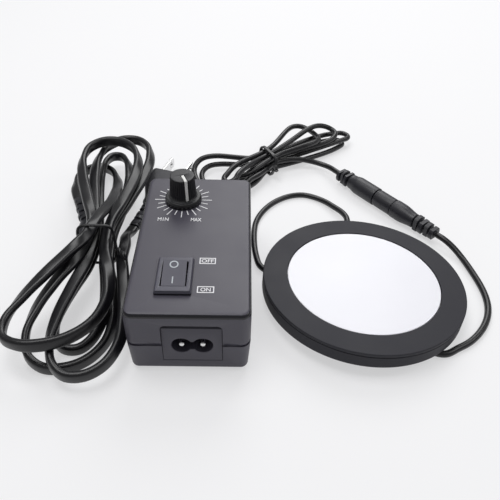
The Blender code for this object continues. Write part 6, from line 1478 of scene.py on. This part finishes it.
def buildMainsPlug():
    place = plugPlace("mainsPlug")
    s, blade = plugSettings["mainsPlug"], plugSettings["blade"]
    face = s["relief"] + s["length"]
    stations, wide, thick = flatStations(s)
    stations += [(face - 0.35, wide - 0.12, thick - 0.12, s["thick"] / 3),
                 (face, wide - 0.7, thick - 0.7, s["thick"] / 3 - 0.6)]
    plug = loftAlongX("mainsPlug", stations, plugPvc)
    halfWide, (cutLong, cutWide) = blade["wide"] / 2, blade["chamfer"]
    slots = []
    for side in (-1, 1):
        outline = shifted(roundedOutline(*blade["slot"], 0.1, 2), face, side * blade["pitch"] / 2)
        slots.append(extruded("bladeSlot", outline, -halfWide - gap, halfWide + gap, plugPvc))
    combine(plug, slots, "DIFFERENCE")
    setAt(refine(plug), place, "base", "black_rubber", "mains_plug")
    setAt(addRelief("mainsPlugRibs", s["firstRib"], s), place, "base", "black_rubber")
    for side, nodeName in ((-1, "mains_blade_1"), (1, "mains_blade_2")):
        low, high = face - blade["root"], face + blade["long"]
        y = side * blade["pitch"] / 2
        outline = [(low, -halfWide), (high - cutLong, -halfWide), (high, -halfWide + cutWide),
                   (high, halfWide - cutWide), (high - cutLong, halfWide), (low, halfWide)]
        rings = [[(x * mm, (y + offset) * mm, z * mm) for x, z in outline]
                 for offset in (-blade["thick"] / 2, blade["thick"] / 2)]
        metal = loftRings("mainsBlade" + nodeName[-1], rings, nickelPlate)
        hole = lathe("bladeHole", [(blade["hole"], y - 2), (blade["hole"], y + 2)], nickelPlate, 24)
        hole.matrix_world = placed(high - blade["holeInset"], 0, 0, -90, "X")
        combine(metal, [settle(hole)], "DIFFERENCE")
        setAt(refine(metal, blade["edge"]), place, "base", "nickel", nodeName)


def buildConnector():
    place = plugPlace("connector")
    s = plugSettings["connector"]
    tail, face = s["relief"], s["relief"] + s["length"]
    stations, wide, thick = flatStations(s)
    stepX, stepZ = wide - s["step"][0], thick - s["step"][1]
    stations += [(tail + s["length"] * s["stepAt"], stepX, stepZ, thick), (face - 0.3, stepX, stepZ, thick),
                 (face, wide - s["faceIn"][0], thick - s["faceIn"][1], thick)]
    connector = loftAlongX("mainsConnector", stations, plugPvc, 10)
    bores = []
    for side in (-1, 1):
        bore = turnedAlongX("pinBore", [(s["bore"], face - s["boreDepth"]), (s["bore"], face + 1)],
                            plugPvc, 24)
        bore.matrix_world = placed(0, side * s["pitch"] / 2, 0)
        bores.append(settle(bore))
    combine(connector, bores, "DIFFERENCE")
    setAt(refine(connector), place, "base", "black_rubber", "mains_connector")
    setAt(addRelief("mainsConnectorRibs", s["firstRib"], s), place, "base", "black_rubber")


def buildOutputGrommet():
    s = plugSettings["grommet"]
    neck, flange = s["neck"], s["flange"]
    tip = leadSettings["round"] / 2 + gap
    wall = caseSettings["wall"] + taperAt(caseSettings["parting"] - flange) + gap
    profile = [(flange, -wall - 1.0), (flange, -wall), (neck, -wall), (neck, gap)]
    profile += roundedProfile([(flange, gap, 0.2), (flange, gap + 1.0, 0.3), (neck + 0.2, gap + 1.2, 0)], 4)
    for index in range(s["ribs"]):
        at = gap + s["ribPitch"] + index * s["ribPitch"]
        radius = neck + 0.1 + (tip + 0.35 - neck) * index / (s["ribs"] - 1)
        profile += [(radius - 0.55, at - 0.7), (radius - 0.1, at - 0.55), (radius, at - 0.35),
                    (radius, at + 0.55), (radius - 0.15, at + 0.75), (radius - 0.55, at + 0.9)]
    profile += [(tip, s["tail"] - 0.2), (tip - 0.15, s["tail"])]
    grommet = lathe("outputGrommet", profile, plugPvc, 48)
    grommet.matrix_world = placed(grommetX, caseBack, caseSettings["parting"], -90, "X")
    dress(settle(grommet), "base", "black_rubber", "output_grommet")


buildJoint()
buildMainsPlug()
buildConnector()
buildOutputGrommet()
print("plugs ready")


# Finishes on the CAD pieces that stay

nodeFinishes = {
    "top_cover": mouldedAbs, "bottom_shell": mouldedAbs, "case_screw": zincSteel, "foot": footRubber,
    "mains_inlet": mouldedAbs, "inlet_pin": nickelPlate, "switch_housing": smoothNylon, "rocker": smoothNylon,
    "switch_terminal": nickelPlate, "knob_pointer": whiteAbs, "knob": knobAbs, "output_grommet": plugPvc,
    "potentiometer_nut": nickelPlate, "potentiometer_shaft": nickelPlate, "potentiometer": zincSteel,
    "circuit_board": solderMask, "transformer": greyFerrite, "input_capacitor": canSleeve,
    "output_capacitor": canSleeve, "input_choke": greyFerrite, "heat_sink": millAluminium,
    "power_transistor": smoothNylon, "lamp_housing": stoveEnamel, "lamp_rim": stoveEnamel,
    "diffuser": opalAcrylic, "light_guide": clearAcrylic, "reflector_sheet": whiteAbs, "led_ring": whiteAbs,
    "lamp_screw": zincSteel, "lamp_grommet": plugPvc, "lamp_plug_barrel": nickelPlate, "lamp_plug": plugPvc,
    "output_socket": plugPvc, "mains_connector": plugPvc, "mains_plug": plugPvc, "mains_blade": nickelPlate,
}
for nodeName, node in cadNodes.items():
    finish = next((found for start, found in nodeFinishes.items() if nodeName.startswith(start)), None)
    if finish:
        for materialSlot in node.material_slots:
            materialSlot.material = finish
print("CAD pieces finished")
